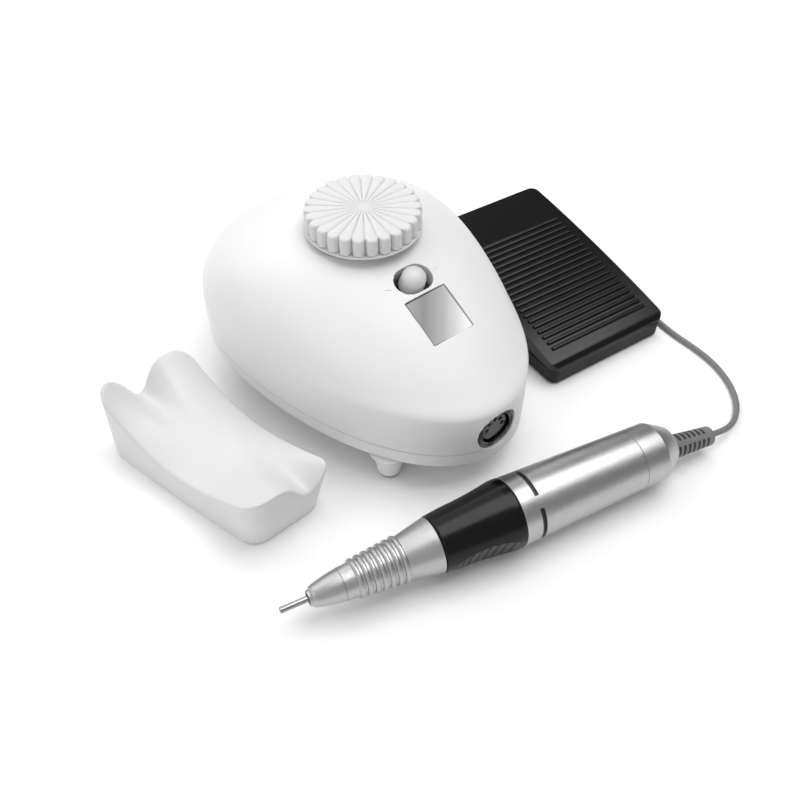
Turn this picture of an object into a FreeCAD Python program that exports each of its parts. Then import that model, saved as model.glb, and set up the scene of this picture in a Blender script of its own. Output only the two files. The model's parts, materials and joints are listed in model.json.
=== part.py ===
import FreeCAD, Part
import math
import os
import re
import Sketcher

# Nail drill machine: a table-top set of an egg-shaped control unit, a handpiece with its lead,
# a handpiece rest and a foot pedal.
# Millimetres. +Z is up and the table top is Z = 0. The front of the control unit faces -Y.

doc = FreeCAD.newDocument("NailDrillMachine")
sizes = doc.addObject("Spreadsheet::Sheet", "Sizes")

SIZES = {
    # Middle of the whole set, seen from the centre of the control unit
    "set_middle_x": 7.6,
    "set_middle_y": -54.0,
    # Fits shared by the pieces
    "running_gap": 0.05,
    "slip_gap": 0.15,
    "cover_gap": 0.4,
    # Control unit, the egg-shaped housing
    "unit_half_width": 57.9,
    "unit_front_reach": 113.9,
    "unit_back_reach": 48.1,
    "unit_top": 77.6,
    "unit_widest_height": 39.4,
    "unit_side_power": 2.5,
    "unit_front_power": 1.38,
    "unit_back_power": 2.97,
    "unit_side_tuck": 0.024,
    "unit_front_tuck": 0.007,
    "unit_dome_bands": 7,
    "unit_seat_height": 75.6,
    "unit_part_line": 21.4,
    "unit_base_height": 13.8,
    "unit_wall": 2.5,
    "unit_low_ceiling": 46.0,
    "unit_high_ceiling": 61.0,
    "tray_edge": 1.8,
    "tongue_wall": 1.6,
    "tongue_rise": 2.2,
    # Feet and screw posts of the control unit
    "foot_front_x": 31.3,
    "foot_front_y": -84.0,
    "foot_back_x": 33.0,
    "foot_back_y": 22.0,
    "foot_root_radius": 7.2,
    "foot_flare_height": 3.0,
    "foot_radius": 5.4,
    "foot_tip_radius": 4.9,
    "foot_pad_height": 1.4,
    "foot_pad_radius": 4.2,
    "post_front_x": 30.0,
    "post_front_y": -62.0,
    "post_back_x": 40.0,
    "post_back_y": 8.0,
    "post_radius": 4.2,
    "post_top": 24.5,
    "screw_recess_radius": 2.9,
    "screw_recess_depth": 5.0,
    # Speed knob and its potentiometer
    "knob_axis_y": -28.0,
    "knob_top": 86.6,
    "knob_height": 7.6,
    "knob_lobe_ring": 21.3,
    "knob_lobe_radius": 2.32,
    "knob_lobes": 26,
    "knob_lobe_round": 0.9,
    "knob_core_radius": 20.9,
    "knob_skirt_radius": 23.9,
    "knob_skirt_height": 0.9,
    "knob_roof": 2.6,
    "knob_wall": 2.2,
    "knob_hub_radius": 5.6,
    "knob_hub_gap": 3.2,
    "knob_fan_start": 2.5,
    "knob_fan_depth": 0.7,
    "knob_fan_width": 1.6,
    "knob_fan_slope": 1.4,
    "pot_shaft_radius": 3.0,
    "pot_bush_radius": 3.6,
    "pot_bush_rise": 2.4,
    "pot_body_radius": 8.5,
    "pot_body_height": 9.5,
    "pot_bore_depth": 9.0,
    # Direction switch
    "toggle_y": -60.2,
    "toggle_height": 70.5,
    "toggle_tilt": 19.7,
    "toggle_cap_radius": 6.0,
    "toggle_cap_rise": 4.2,
    "toggle_cap_sink": 5.0,
    "toggle_slot_length": 17.8,
    "toggle_slot_gap": 0.35,
    "toggle_body_top": 7.0,
    "toggle_body_depth": 11.0,
    "toggle_body_width": 11.0,
    "toggle_body_length": 21.0,
    "toggle_body_wall": 2.0,
    "toggle_pivot_depth": 9.5,
    "toggle_pin_radius": 1.0,
    "toggle_room_below": 22.0,
    "toggle_lever_radius": 1.5,
    "toggle_lever_end": 1.2,
    # Display
    "display_y": -76.4,
    "display_height": 63.3,
    "display_tilt": 25.1,
    "display_width": 19.6,
    "display_length": 20.2,
    "display_lens_thick": 1.5,
    "display_lens_sink": 0.2,
    "display_ledge": 1.6,
    "display_block_depth": 5.5,
    "display_board_thick": 1.4,
    "display_board_width": 25.0,
    "display_board_length": 19.6,
    "display_room_below": 22.0,
    # Handpiece socket, a five-pin round connector
    "socket_height": 28.8,
    "socket_radius": 9.4,
    "socket_edge": 0.6,
    "socket_recess": 1.4,
    "socket_depth": 17.0,
    "socket_floor": 4.0,
    "socket_ring_bore": 7.0,
    "socket_insert_radius": 6.3,
    "socket_insert_sink": 1.3,
    "socket_pin_ring": 4.0,
    "socket_pin_hole": 0.75,
    "socket_hole_depth": 8.0,
    "socket_key_width": 2.2,
    # Rear fittings
    "rear_height": 30.0,
    "rear_pitch": 19.0,
    "rear_neck": 1.2,
    "rear_depth": 10.0,
    "gland_radius": 6.0,
    "gland_bore": 3.1,
    "gland_reach": 7.0,
    "jack_radius": 3.0,
    "jack_bore": 1.8,
    "jack_nut_radius": 5.0,
    "jack_reach": 4.4,
    "fuse_radius": 6.2,
    "fuse_reach": 5.6,
    # Electronics
    "board_width": 46.0,
    "board_length": 44.0,
    "board_thick": 1.6,
    "board_stand": 4.0,
    "board_y": -48.0,
    "transformer_width": 44.0,
    "transformer_stack": 18.0,
    "transformer_height": 36.0,
    "transformer_y": 10.0,
    "transformer_coil_reach": 6.0,
    # Handpiece, sizes along its axis measured from the tip of the nose
    "handpiece_nose_x": -96.9,
    "handpiece_unit_gap": 7.8,
    "handpiece_yaw": -11.35,
    "seam_gap": 0.15,
    "nose_tip_radius": 3.3,
    "nose_length": 12.8,
    "nose_root_radius": 6.3,
    "cone_length": 37.2,
    "ridge_first": 18.4,
    "ridge_pitch": 2.9,
    "ridge_count": 7,
    "ridge_rise": 0.75,
    "ridge_base_first": 6.75,
    "ridge_base_last": 8.35,
    "cone_root_radius": 11.0,
    "ring_front_radius": 11.2,
    "ring_back_radius": 14.1,
    "ring_length": 32.6,
    "ring_scoop_length": 25.0,
    "ring_scoop_depth": 1.6,
    "ring_scoop_width": 12.0,
    "ring_scoop_curve": 70.0,
    "ring_scoop_ribs": 6,
    "ring_scoop_rib_pitch": 3.4,
    "ring_scoop_rib_width": 1.0,
    "ring_scoop_rib_rise": 0.7,
    "housing_tube_radius": 9.3,
    "housing_tube_bore": 7.0,
    "housing_tube_overlap": 6.0,
    "body_front_radius": 13.95,
    "body_back_radius": 12.5,
    "body_length": 56.6,
    "body_slot_offset": 6.6,
    "body_slot_width": 1.5,
    "body_slot_depth": 0.9,
    "body_slot_bridge": 5.0,
    "tail_length": 18.6,
    "tail_straight": 10.6,
    "tail_end_radius": 7.6,
    "spindle_radius": 3.0,
    "spindle_start": 6.5,
    "bit_radius": 1.175,
    "bit_reach": 10.7,
    "bit_inside": 22.0,
    "collet_radius": 2.1,
    "motor_radius": 10.6,
    "motor_bore": 8.4,
    "motor_start": 92.0,
    "motor_length": 40.0,
    "rotor_radius": 7.6,
    "rotor_length": 28.0,
    # Lead of the handpiece
    "boot_seat": 7.0,
    "boot_drop": 1.6,
    "boot_tilt": 9.0,
    "boot_radius": 5.2,
    "boot_end_radius": 4.1,
    "boot_length": 31.0,
    "boot_windows": 7,
    "boot_window_pitch": 2.7,
    "boot_window_width": 1.3,
    "boot_window_height": 2.6,
    "boot_window_depth": 1.8,
    "cord_radius": 1.3,
    "cord_sides": 6,
    "coil_x": 70.0,
    "coil_y": 48.9,
    "coil_radius": 22.0,
    "coil_step": 3.4,
    "coil_rise": 3.3,
    "coil_in_turns": 4.0,
    "coil_climb_turns": 0.5,
    "coil_turns": 8.25,
    "cord_height": 1.35,
    # Plug on the far end of the lead
    "plug_radius": 7.4,
    "plug_length": 25.0,
    "plug_wall": 0.5,
    "plug_shell_length": 9.5,
    "plug_boot_length": 13.0,
    "plug_pin_radius": 0.7,
    # Handpiece rest, its outline given on the table (foot) and at the top of its walls (rim)
    "rest_unit_gap": 28.9,
    "rest_y": -41.5,
    "rest_yaw": 10.0,
    "rest_wall_top": 44.0,
    "rest_foot_waist": 20.4,
    "rest_foot_corner": 8.0,
    "rest_front_foot_half": 17.6,
    "rest_front_foot_reach": 41.5,
    "rest_back_foot_half": 22.5,
    "rest_back_foot_reach": 45.5,
    "rest_rim_waist": 20.8,
    "rest_rim_corner": 9.0,
    "rest_front_rim_half": 21.0,
    "rest_front_rim_reach": 51.0,
    "rest_back_rim_half": 22.5,
    "rest_back_rim_reach": 43.5,
    "rest_front_skew": 0.1,
    "rest_back_skew": 0.0,
    "rest_mid_height": 18.0,
    "rest_camber": 2.6,
    "rest_front_height": 33.5,
    "rest_front_sweep": 1.7,
    "rest_front_tilt": 3.6,
    "rest_front_notch_x": 8.0,
    "rest_front_notch_depth": 17.0,
    "rest_front_notch_width": 8.0,
    "rest_back_height": 32.0,
    "rest_back_sweep": 2.2,
    "rest_back_tilt": 2.0,
    "rest_back_notch_x": -3.0,
    "rest_back_notch_depth": 14.0,
    "rest_back_notch_width": 6.5,
    # Foot pedal, sizes from its near left corner, which lies inside the unit's widest line
    "pedal_unit_gap": 2.2,
    "pedal_y": -91.7,
    "pedal_yaw": -5.2,
    "pedal_width": 66.7,
    "pedal_length": 100.0,
    "pedal_corner": 5.0,
    "pedal_foot_height": 1.0,
    "pedal_foot_radius": 4.5,
    "pedal_foot_inset": 10.0,
    "pedal_base_height": 7.6,
    "pedal_floor": 1.8,
    "pedal_wall": 1.6,
    "pedal_inner_inset": 3.2,
    "pedal_inner_near": 9.2,
    "pedal_inner_far": 17.0,
    "pedal_rim_near": 8.2,
    "pedal_rim_far": 15.4,
    "pedal_near_height": 11.8,
    "pedal_far_height": 27.4,
    "pedal_crown": 1.6,
    "pedal_near_round": 3.2,
    "pedal_skin": 2.2,
    "pedal_hinge_y": 9.0,
    "pedal_hinge_height": 5.6,
    "pedal_pin_radius": 1.5,
    "pedal_lug_x": 6.0,
    "pedal_lug_width": 3.0,
    "pedal_lug_reach": 3.0,
    "pedal_spring_radius": 2.7,
    "pedal_spring_length": 16.0,
    "pedal_rib_count": 20,
    "pedal_rib_height": 0.9,
    "pedal_rib_width": 2.0,
    "pedal_rib_inset": 5.5,
    "pedal_rib_near": 9.0,
    "pedal_rib_far": 74.0,
    "pedal_switch_y": 52.0,
    "pedal_switch_height": 9.0,
    "pedal_button_rise": 3.6,
    "pedal_button_length": 8.0,
    "pedal_button_gap": 0.3,
    "pedal_button_width": 2.6,
    "pedal_button_depth": 4.2,
    "pedal_switch_width": 6.5,
    "pedal_switch_length": 20.0,
    "pedal_gland_radius": 2.8,
    "pedal_gland_bore": 1.6,
}

for row, (alias, number) in enumerate(SIZES.items(), start=1):
    sizes.set(f"A{row}", alias.replace("_", " "))
    sizes.set(f"B{row}", str(number))
    sizes.setAlias(f"B{row}", alias)
doc.recompute()

NODES = []


def bound(expression):
    """The expression as other objects of the document read it."""
    return re.sub(r"[a-z][a-z_]+", lambda word: "Sizes." + word.group(0), str(expression))


def size(expression):
    """Number that an expression of the sheet's aliases comes to."""
    return float(sizes.evalExpression(bound(expression)))


def vector(x=0.0, y=0.0, z=0.0):
    return FreeCAD.Vector(x, y, z)


UP = vector(0, 0, 1)


def turn(axis, degrees):
    return FreeCAD.Rotation(axis, degrees)


def moved(x, y, z, rotation=None):
    return FreeCAD.Placement(vector(x, y, z), rotation or FreeCAD.Rotation())


def on_table(x, y, z=0.0, rotation=None):
    """Placement of a piece whose spot is given from the centre of the control unit."""
    return moved(x - size("set_middle_x"), y - size("set_middle_y"), z, rotation)


def object_name(label):
    return "".join(word.capitalize() for word in label.split("_"))


def keep(piece, label, placement):
    """Name a finished sub-part, place it and list it for writing."""
    piece.Label = label
    piece.Placement = placement
    NODES.append(piece)
    return piece


def plain_shape(label, shape, placement):
    """Sub-part whose form comes from Part's own functions."""
    piece = doc.addObject("Part::Feature", object_name(label))
    piece.Shape = shape
    return keep(piece, label, placement)


def sketch_on(body, role, name):
    """Sketch on one of the body's own origin planes."""
    sketch = body.newObject("Sketcher::SketchObject", name)
    plane = next(plane for plane in body.Origin.OriginFeatures if plane.Role == role)
    sketch.AttachmentSupport = [(plane, "")]
    sketch.MapMode = "FlatFace"
    return sketch


def draw_outline(sketch, corners):
    """Closed outline through corners whose coordinates are bound to the sheet."""
    points = [vector(size(x), size(y)) for x, y in corners]
    count = len(points)
    for index in range(count):
        line = Part.LineSegment(points[index], points[(index + 1) % count])
        sketch.addGeometry(line, False)
    for index in range(count):
        joint = Sketcher.Constraint("Coincident", index, 2, (index + 1) % count, 1)
        sketch.addConstraint(joint)
    for index, corner in enumerate(corners):
        for kind, expression, value, axis in (
            ("DistanceX", corner[0], points[index].x, -2),
            ("DistanceY", corner[1], points[index].y, -1),
        ):
            if expression == "0":
                sketch.addConstraint(Sketcher.Constraint("PointOnObject", index, 1, axis))
            else:
                rule = Sketcher.Constraint(kind, -1, 1, index, 1, value)
                number = sketch.addConstraint(rule)
                sketch.setExpression(f"Constraints[{number}]", bound(expression))


def new_body(label):
    return doc.addObject("PartDesign::Body", object_name(label))


def turned(label, outline, placement):
    """Body turned about its own Z axis from corners given as (radius, height)."""
    body = new_body(label)
    profile = sketch_on(body, "XZ_Plane", object_name(label) + "Profile")
    draw_outline(profile, outline)
    revolve = body.newObject("PartDesign::Revolution", object_name(label) + "Turn")
    revolve.Profile = profile
    revolve.ReferenceAxis = (profile, ["V_Axis"])
    revolve.Angle = 360
    return keep(body, label, placement)


def block(label, width, length, height, placement):
    """Body padded up from a rectangle centred on its own origin."""
    body = new_body(label)
    profile = sketch_on(body, "XY_Plane", object_name(label) + "Outline")
    half_width = f"({width}) / 2"
    half_length = f"({length}) / 2"
    corners = [(f"-{half_width}", f"-{half_length}"), (half_width, f"-{half_length}")]
    corners += [(half_width, half_length), (f"-{half_width}", half_length)]
    draw_outline(profile, corners)
    pad = body.newObject("PartDesign::Pad", object_name(label) + "Pad")
    pad.Profile = profile
    pad.setExpression("Length", bound(height))
    return keep(body, label, placement)


def cylinder(radius, height, base=None, direction=None):
    return Part.makeCylinder(radius, height, base or vector(), direction or UP)


def centred_box(x_size, y_size, z_size, x=0.0, y=0.0, z=0.0):
    """Box centred on x and y, with its lower face at z."""
    return Part.makeBox(x_size, y_size, z_size, vector(x - x_size / 2, y - y_size / 2, z))


def turned_shape(corners):
    """Solid turned about Z from corners given as numbers (radius, height)."""
    points = [vector(radius, 0, height) for radius, height in corners]
    face = Part.Face(Part.makePolygon(points + points[:1]))
    return face.revolve(vector(), UP, 360)


def fused(shapes):
    return shapes[0].multiFuse(shapes[1:]).removeSplitter()


def placed(shape, placement):
    copy = shape.copy()
    copy.Placement = placement
    return copy


def upright_edges(shape):
    """Straight edges that run along Z."""
    edges = []
    for edge in shape.Edges:
        if isinstance(edge.Curve, Part.Line) and abs(edge.tangentAt(edge.FirstParameter).z) > 0.99:
            edges.append(edge)
    return edges


# Control unit: housing

UNIT_PLACE = on_table(0, 0)


def egg_section(height, inset=0.0):
    """Half width, front reach, back reach and middle of the egg at one height."""
    widest = size("unit_widest_height")
    if height >= widest:
        rise = (height - widest) / (size("unit_top") - widest)
        side = (1 - rise ** size("unit_side_power")) ** (1 / size("unit_side_power"))
        front = (1 - rise ** size("unit_front_power")) ** (1 / size("unit_front_power"))
        back = (1 - rise ** size("unit_back_power")) ** (1 / size("unit_back_power"))
        middle = size("knob_axis_y") * rise**2
    else:
        drop = (widest - height) / widest
        side = 1 - size("unit_side_tuck") * drop**2
        front = 1 - size("unit_front_tuck") * drop**2
        back = side
        middle = 0.0
    half_width = size("unit_half_width") * side - inset
    front_reach = size("unit_front_reach") * front - inset
    back_reach = size("unit_back_reach") * back - inset
    return half_width, front_reach, back_reach, middle


def egg_wire(height, inset=0.0):
    """Plan outline of the egg at one height, as four quarter ellipses."""
    half, ahead, behind, middle = egg_section(height, inset)
    corners = [(half, 0), (half, -ahead), (0, -ahead), (-half, -ahead)]
    corners += [(-half, 0), (-half, behind), (0, behind), (half, behind)]
    edges = []
    for start in range(0, 8, 2):
        poles = [corners[start], corners[start + 1], corners[(start + 2) % 8]]
        quarter = Part.BezierCurve()
        quarter.setPoles([vector(x, middle + y, height) for x, y in poles])
        quarter.setWeight(2, math.sqrt(0.5))
        edges.append(quarter.toShape())
    return Part.Wire(edges)


def half_ellipse(half, tip, middle, height):
    """Half ellipse across the middle line, out to a tip in front of it or behind it."""
    centre = vector(0, middle, height)
    flank = vector(half, middle, height)
    nose = vector(0, middle + tip, height)
    long_way, short_way = (nose, flank) if abs(tip) > half else (flank, nose)
    ellipse = Part.Ellipse(long_way, short_way, centre)
    start = ellipse.parameter(flank)
    for step in (math.pi, -math.pi):
        if (ellipse.value(start + step / 2) - nose).Length < abs(tip) / 10:
            ends = sorted((start, start + step))
            return Part.ArcOfEllipse(ellipse, ends[0], ends[1]).toShape()


def egg_prism(low, high, section_height, inset):
    """Upright solid between two heights, with the egg's section at a third height."""
    half, ahead, behind, middle = egg_section(section_height, inset)
    outline = [half_ellipse(half, -ahead, middle, low), half_ellipse(half, behind, middle, low)]
    return Part.Face(Part.Wire(outline)).extrude(vector(0, 0, high - low))


def tilted(y, height, tilt):
    """Placement whose Z axis leaves the sloping top of the housing squarely."""
    return moved(0, y, height, turn(vector(1, 0, 0), tilt))


def slot_shape(length, width, depth, low):
    """Round-ended slot along X, from low up by depth."""
    straight = length - width
    ends = [cylinder(width / 2, depth, vector(side * straight / 2, 0, low)) for side in (-1, 1)]
    return fused([centred_box(straight, width, depth, z=low)] + ends)


def mirrored_spots(name):
    """The four spots of a piece that stands left and right, at the front and at the back."""
    return [
        (side * size(f"{name}_{end}_x"), size(f"{name}_{end}_y"))
        for end in ("front", "back")
        for side in (-1, 1)
    ]


TOGGLE_PLACE = tilted(size("toggle_y"), size("toggle_height"), size("toggle_tilt"))
DISPLAY_PLACE = tilted(size("display_y"), size("display_height"), size("display_tilt"))
POSTS = mirrored_spots("post")
FEET = mirrored_spots("foot")
SOCKET_FACE = size("socket_recess - unit_front_reach")
REAR_RADII = {-1: "fuse_radius - rear_neck", 0: "gland_radius - rear_neck", 1: "jack_radius"}


def rear_spot(step):
    """Spot on the back of the housing, so many pitches to the right of its middle."""
    x = step * size("rear_pitch")
    half, _, behind, _ = egg_section(size("rear_height"))
    return vector(x, behind * math.sqrt(1 - (x / half) ** 2), size("rear_height"))


def socket_hole():
    """Bore through the nose of the housing, which crosses its parting line."""
    start = vector(0, -size("unit_front_reach") - 5, size("socket_height"))
    depth = 5 + size("socket_recess + socket_depth + slip_gap")
    return cylinder(size("socket_radius + slip_gap"), depth, start, vector(0, 1, 0))


def upper_housing():
    """Domed shell with its ceiling in three steps, and the openings for what it carries."""
    wall = size("unit_wall")
    low = size("unit_part_line + cover_gap / 2")
    seat = size("unit_seat_height")
    widest = size("unit_widest_height")
    bands = int(size("unit_dome_bands"))
    levels = [low, widest]
    for band in range(1, bands + 1):
        levels.append(widest + (seat - widest) * math.sin(math.pi / 2 * band / bands))
    shell = Part.makeLoft([egg_wire(level) for level in levels], True, True)
    ceilings = [size("unit_low_ceiling"), size("unit_high_ceiling"), seat - wall]
    cavity = fused([egg_prism(low, ceiling, ceiling, wall) for ceiling in ceilings])
    for x, y in POSTS:
        cavity = cavity.cut(cylinder(size("post_radius"), seat, vector(x, y, size("post_top"))))
    shell = shell.cut(cavity)

    bush = size("pot_bush_radius + slip_gap")
    cuts = [cylinder(bush, wall * 3, vector(0, size("knob_axis_y"), seat - wall * 2)), socket_hole()]
    slot_width = 2 * size("toggle_cap_radius + toggle_slot_gap")
    room = 2 * size("slip_gap")
    below = size("toggle_room_below")
    body_top = -size("toggle_body_top")
    slot = slot_shape(size("toggle_slot_length"), slot_width, below, body_top - 1)
    pocket = centred_box(
        size("toggle_body_length") + room,
        size("toggle_body_width") + room,
        below + body_top,
        z=-below,
    )
    cuts += [placed(slot, TOGGLE_PLACE), placed(pocket, TOGGLE_PLACE)]
    lens = centred_box(
        size("display_width") + room,
        size("display_length") + room,
        10,
        z=-size("display_lens_thick + display_lens_sink"),
    )
    below = size("display_room_below")
    window = centred_box(
        size("display_width - 2 * display_ledge"),
        size("display_length - 2 * display_ledge"),
        below,
        z=-below,
    )
    board = centred_box(
        size("display_board_width") + room,
        size("display_board_length") + room,
        below - size("display_block_depth"),
        z=-below,
    )
    cuts += [placed(cut, DISPLAY_PLACE) for cut in (lens, window, board)]
    for step, radius in REAR_RADII.items():
        start = rear_spot(step) - vector(0, 12, 0)
        cuts.append(cylinder(size(radius + " + slip_gap"), 20, start, vector(0, 1, 0)))
    for cut in cuts:
        shell = shell.cut(cut)
    return shell


plain_shape("upper_housing", upper_housing(), UNIT_PLACE)


def base_tray():
    """Tray that closes the housing from below, with feet, screw posts and a tongue."""
    low = size("unit_base_height")
    high = size("unit_part_line - cover_gap / 2")
    wall = size("unit_wall")
    floor = low + wall
    edge = size("tray_edge")
    outline = [egg_wire(low, edge * 0.9), egg_wire(low + edge, 0), egg_wire(high, 0)]
    tray = Part.makeLoft(outline, True, True)
    inner = size("unit_low_ceiling")
    tongue_top = high + size("tongue_rise")
    tongue_out = wall + size("slip_gap")
    tongue_in = tongue_out + size("tongue_wall")
    tongue = egg_prism(high - 1, tongue_top, inner, tongue_out)
    tray = fused([tray, tongue]).cut(egg_prism(floor, tongue_top + 1, inner, tongue_in))
    pieces = [tray]
    flare = size("foot_flare_height")
    pad = size("foot_pad_height")
    foot = turned_shape(
        [
            (0, pad),
            (size("foot_tip_radius"), pad),
            (size("foot_radius"), low - flare),
            (size("foot_root_radius"), low + 0.2),
            (0, low + 0.2),
        ]
    )
    pieces += [placed(foot, moved(x, y, 0)) for x, y in FEET]
    post_length = size("post_top") - floor + 0.5
    pieces += [cylinder(size("post_radius"), post_length, vector(x, y, floor - 0.5)) for x, y in POSTS]
    rail_x = size("board_width / 2") - 3
    for side in (-1, 1):
        rail = centred_box(3, size("board_length") - 6, size("board_stand") + 0.5)
        pieces.append(placed(rail, moved(side * rail_x, size("board_y"), floor - 0.5)))
    tray = fused(pieces).cut(socket_hole())
    for x, y in POSTS:
        depth = size("screw_recess_depth") + 1
        tray = tray.cut(cylinder(size("screw_recess_radius"), depth, vector(x, y, low - 1)))
    return tray


plain_shape("base_tray", base_tray(), UNIT_PLACE)


def foot_pads():
    radius = size("foot_pad_radius")
    height = size("foot_pad_height")
    return Part.Compound([cylinder(radius, height, vector(x, y, 0)) for x, y in FEET])


plain_shape("foot_pads", foot_pads(), UNIT_PLACE)

# Control unit: display

LENS_UNDERSIDE = size("-display_lens_thick - display_lens_sink")
block(
    "display_window",
    "display_width",
    "display_length",
    "display_lens_thick",
    UNIT_PLACE * DISPLAY_PLACE * moved(0, 0, LENS_UNDERSIDE),
)


def display_module():
    """Display block behind the lens, on a small board under the ledge."""
    room = 2 * size("slip_gap")
    depth = size("display_block_depth")
    face = centred_box(
        size("display_width - 2 * display_ledge") - room,
        size("display_length - 2 * display_ledge") - room,
        depth + LENS_UNDERSIDE,
        z=-depth,
    )
    thick = size("display_board_thick")
    board = centred_box(
        size("display_board_width"), size("display_board_length"), thick, z=-depth - thick
    )
    return fused([face, board])


plain_shape("display_module", display_module(), UNIT_PLACE * DISPLAY_PLACE)

# Control unit: direction switch


def switch_body():
    """Box in which the lever rocks on its pin."""
    top = -size("toggle_body_top")
    depth = size("toggle_body_depth")
    width = size("toggle_body_width")
    wall = size("toggle_body_wall")
    body = centred_box(size("toggle_body_length"), width, depth, z=top - depth)
    hollow = centred_box(12, width - 2 * wall, depth - wall, z=top - depth + wall)
    pivot = vector(0, -width / 2 - 1, -size("toggle_pivot_depth"))
    bore = cylinder(size("toggle_pin_radius + running_gap"), width + 2, pivot, vector(0, 1, 0))
    return body.cut(hollow).cut(bore)


plain_shape("toggle_switch_body", switch_body(), UNIT_PLACE * TOGGLE_PLACE)


def toggle_lever():
    """Stem that carries the cap, on a cross pin."""
    width = size("toggle_body_width")
    pivot_depth = size("toggle_pivot_depth")
    pin = cylinder(
        size("toggle_pin_radius"), width, vector(0, -width / 2, -pivot_depth), vector(0, 1, 0)
    )
    length = pivot_depth - size("toggle_lever_end")
    stem = cylinder(size("toggle_lever_radius"), length, vector(0, 0, -pivot_depth))
    return fused([pin, stem])


plain_shape("toggle_lever", toggle_lever(), UNIT_PLACE * TOGGLE_PLACE)

turned(
    "toggle_cap",
    [
        ("toggle_lever_radius", "-toggle_cap_sink"),
        ("toggle_cap_radius", "-toggle_cap_sink"),
        ("toggle_cap_radius", "toggle_cap_rise * 0.1"),
        ("toggle_cap_radius * 0.88", "toggle_cap_rise * 0.55"),
        ("toggle_cap_radius * 0.55", "toggle_cap_rise * 0.9"),
        ("0", "toggle_cap_rise"),
        ("0", "-toggle_lever_end"),
        ("toggle_lever_radius", "-toggle_lever_end"),
    ],
    UNIT_PLACE * TOGGLE_PLACE,
)

# Control unit: speed knob and potentiometer

KNOB_PLACE = on_table(0, size("knob_axis_y"))


def knob():
    """Knob with rounded lobes round its rim and a fan of grooves on its face."""
    body = new_body("speed_knob")
    profile = sketch_on(body, "XZ_Plane", "KnobProfile")
    shaft = "pot_shaft_radius + running_gap"
    roof = "knob_top - knob_roof"
    skirt_top = "knob_top - knob_height"
    skirt_low = "knob_top - knob_height - knob_skirt_height"
    hub_low = "unit_seat_height + knob_hub_gap"
    inner = "knob_core_radius - knob_wall"
    corners = [(shaft, hub_low), ("knob_hub_radius", hub_low), ("knob_hub_radius", roof)]
    corners += [(inner, roof), (inner, skirt_low), ("knob_skirt_radius", skirt_low)]
    corners += [("knob_skirt_radius", skirt_top), ("knob_core_radius", skirt_top)]
    corners += [("knob_core_radius", "knob_top"), ("0", "knob_top"), ("0", roof), (shaft, roof)]
    draw_outline(profile, corners)
    core = body.newObject("PartDesign::Revolution", "KnobCore")
    core.Profile = profile
    core.ReferenceAxis = (profile, ["V_Axis"])
    core.Angle = 360

    lobe_profile = sketch_on(body, "XZ_Plane", "KnobLobeProfile")
    ring = "knob_lobe_ring"
    edge = "knob_lobe_ring - knob_lobe_radius"
    lobe_corners = [(ring, skirt_top), (edge, skirt_top), (edge, "knob_top - knob_lobe_round")]
    lobe_corners += [(edge + " + knob_lobe_round", "knob_top"), (ring, "knob_top")]
    draw_outline(lobe_profile, lobe_corners)
    axis = Part.LineSegment(vector(size(ring), 0), vector(size(ring), 10))
    lobe_profile.addGeometry(axis, True)
    lobe = body.newObject("PartDesign::Revolution", "KnobLobe")
    lobe.Profile = lobe_profile
    lobe.ReferenceAxis = (lobe_profile, ["Axis0"])
    lobe.Angle = 360
    lobes = body.newObject("PartDesign::PolarPattern", "KnobLobes")
    lobes.Originals = [lobe]
    lobes.Axis = (profile, ["V_Axis"])
    lobes.Angle = 360
    lobes.setExpression("Occurrences", bound("knob_lobes"))
    body.Tip = lobes

    fan_profile = sketch_on(body, "XY_Plane", "KnobFanProfile")
    half_pitch = math.pi / size("knob_lobes")
    fan_corners = [("-knob_fan_width / 2", "knob_fan_depth")]
    fan_corners += [("0", "-0.1"), ("knob_fan_width / 2", "knob_fan_depth")]
    draw_outline(fan_profile, fan_corners)
    start = size("knob_fan_start")
    outward = vector(math.cos(half_pitch), math.sin(half_pitch), 0)
    dipping = math.radians(size("knob_fan_slope"))
    along = outward * math.cos(dipping) - UP * math.sin(dipping)
    across = UP.cross(outward)
    facing = FreeCAD.Rotation(across, along.cross(across) * -1, along, "ZXY")
    fan_profile.AttachmentOffset = FreeCAD.Placement(outward * start + UP * size("knob_top"), facing)
    groove = body.newObject("PartDesign::Pocket", "KnobFanGroove")
    groove.Profile = fan_profile
    groove.setExpression("Length", bound("knob_core_radius + knob_lobe_radius"))
    groove.Reversed = True
    grooves = body.newObject("PartDesign::PolarPattern", "KnobFan")
    grooves.Originals = [groove]
    grooves.Axis = (profile, ["V_Axis"])
    grooves.Angle = 360
    grooves.setExpression("Occurrences", bound("knob_lobes"))
    body.Tip = grooves
    return keep(body, "speed_knob", KNOB_PLACE)


knob()

POT_TOP = "unit_seat_height - unit_wall"
turned(
    "potentiometer",
    [
        ("0", POT_TOP + " - pot_body_height"),
        ("pot_body_radius", POT_TOP + " - pot_body_height"),
        ("pot_body_radius", POT_TOP),
        ("pot_bush_radius", POT_TOP),
        ("pot_bush_radius", "unit_seat_height + pot_bush_rise"),
        ("pot_shaft_radius + running_gap", "unit_seat_height + pot_bush_rise"),
        ("pot_shaft_radius + running_gap", "unit_seat_height - pot_bore_depth"),
        ("0", "unit_seat_height - pot_bore_depth"),
    ],
    KNOB_PLACE,
)
turned(
    "knob_shaft",
    [
        ("0", "unit_seat_height - pot_bore_depth + running_gap"),
        ("pot_shaft_radius", "unit_seat_height - pot_bore_depth + running_gap"),
        ("pot_shaft_radius", "knob_top - knob_roof"),
        ("0", "knob_top - knob_roof"),
    ],
    KNOB_PLACE,
)

# Control unit: handpiece socket, its own Z axis pointing out of the front

SOCKET_PLACE = on_table(0, SOCKET_FACE, size("socket_height"), turn(vector(1, 0, 0), 90))

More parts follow.
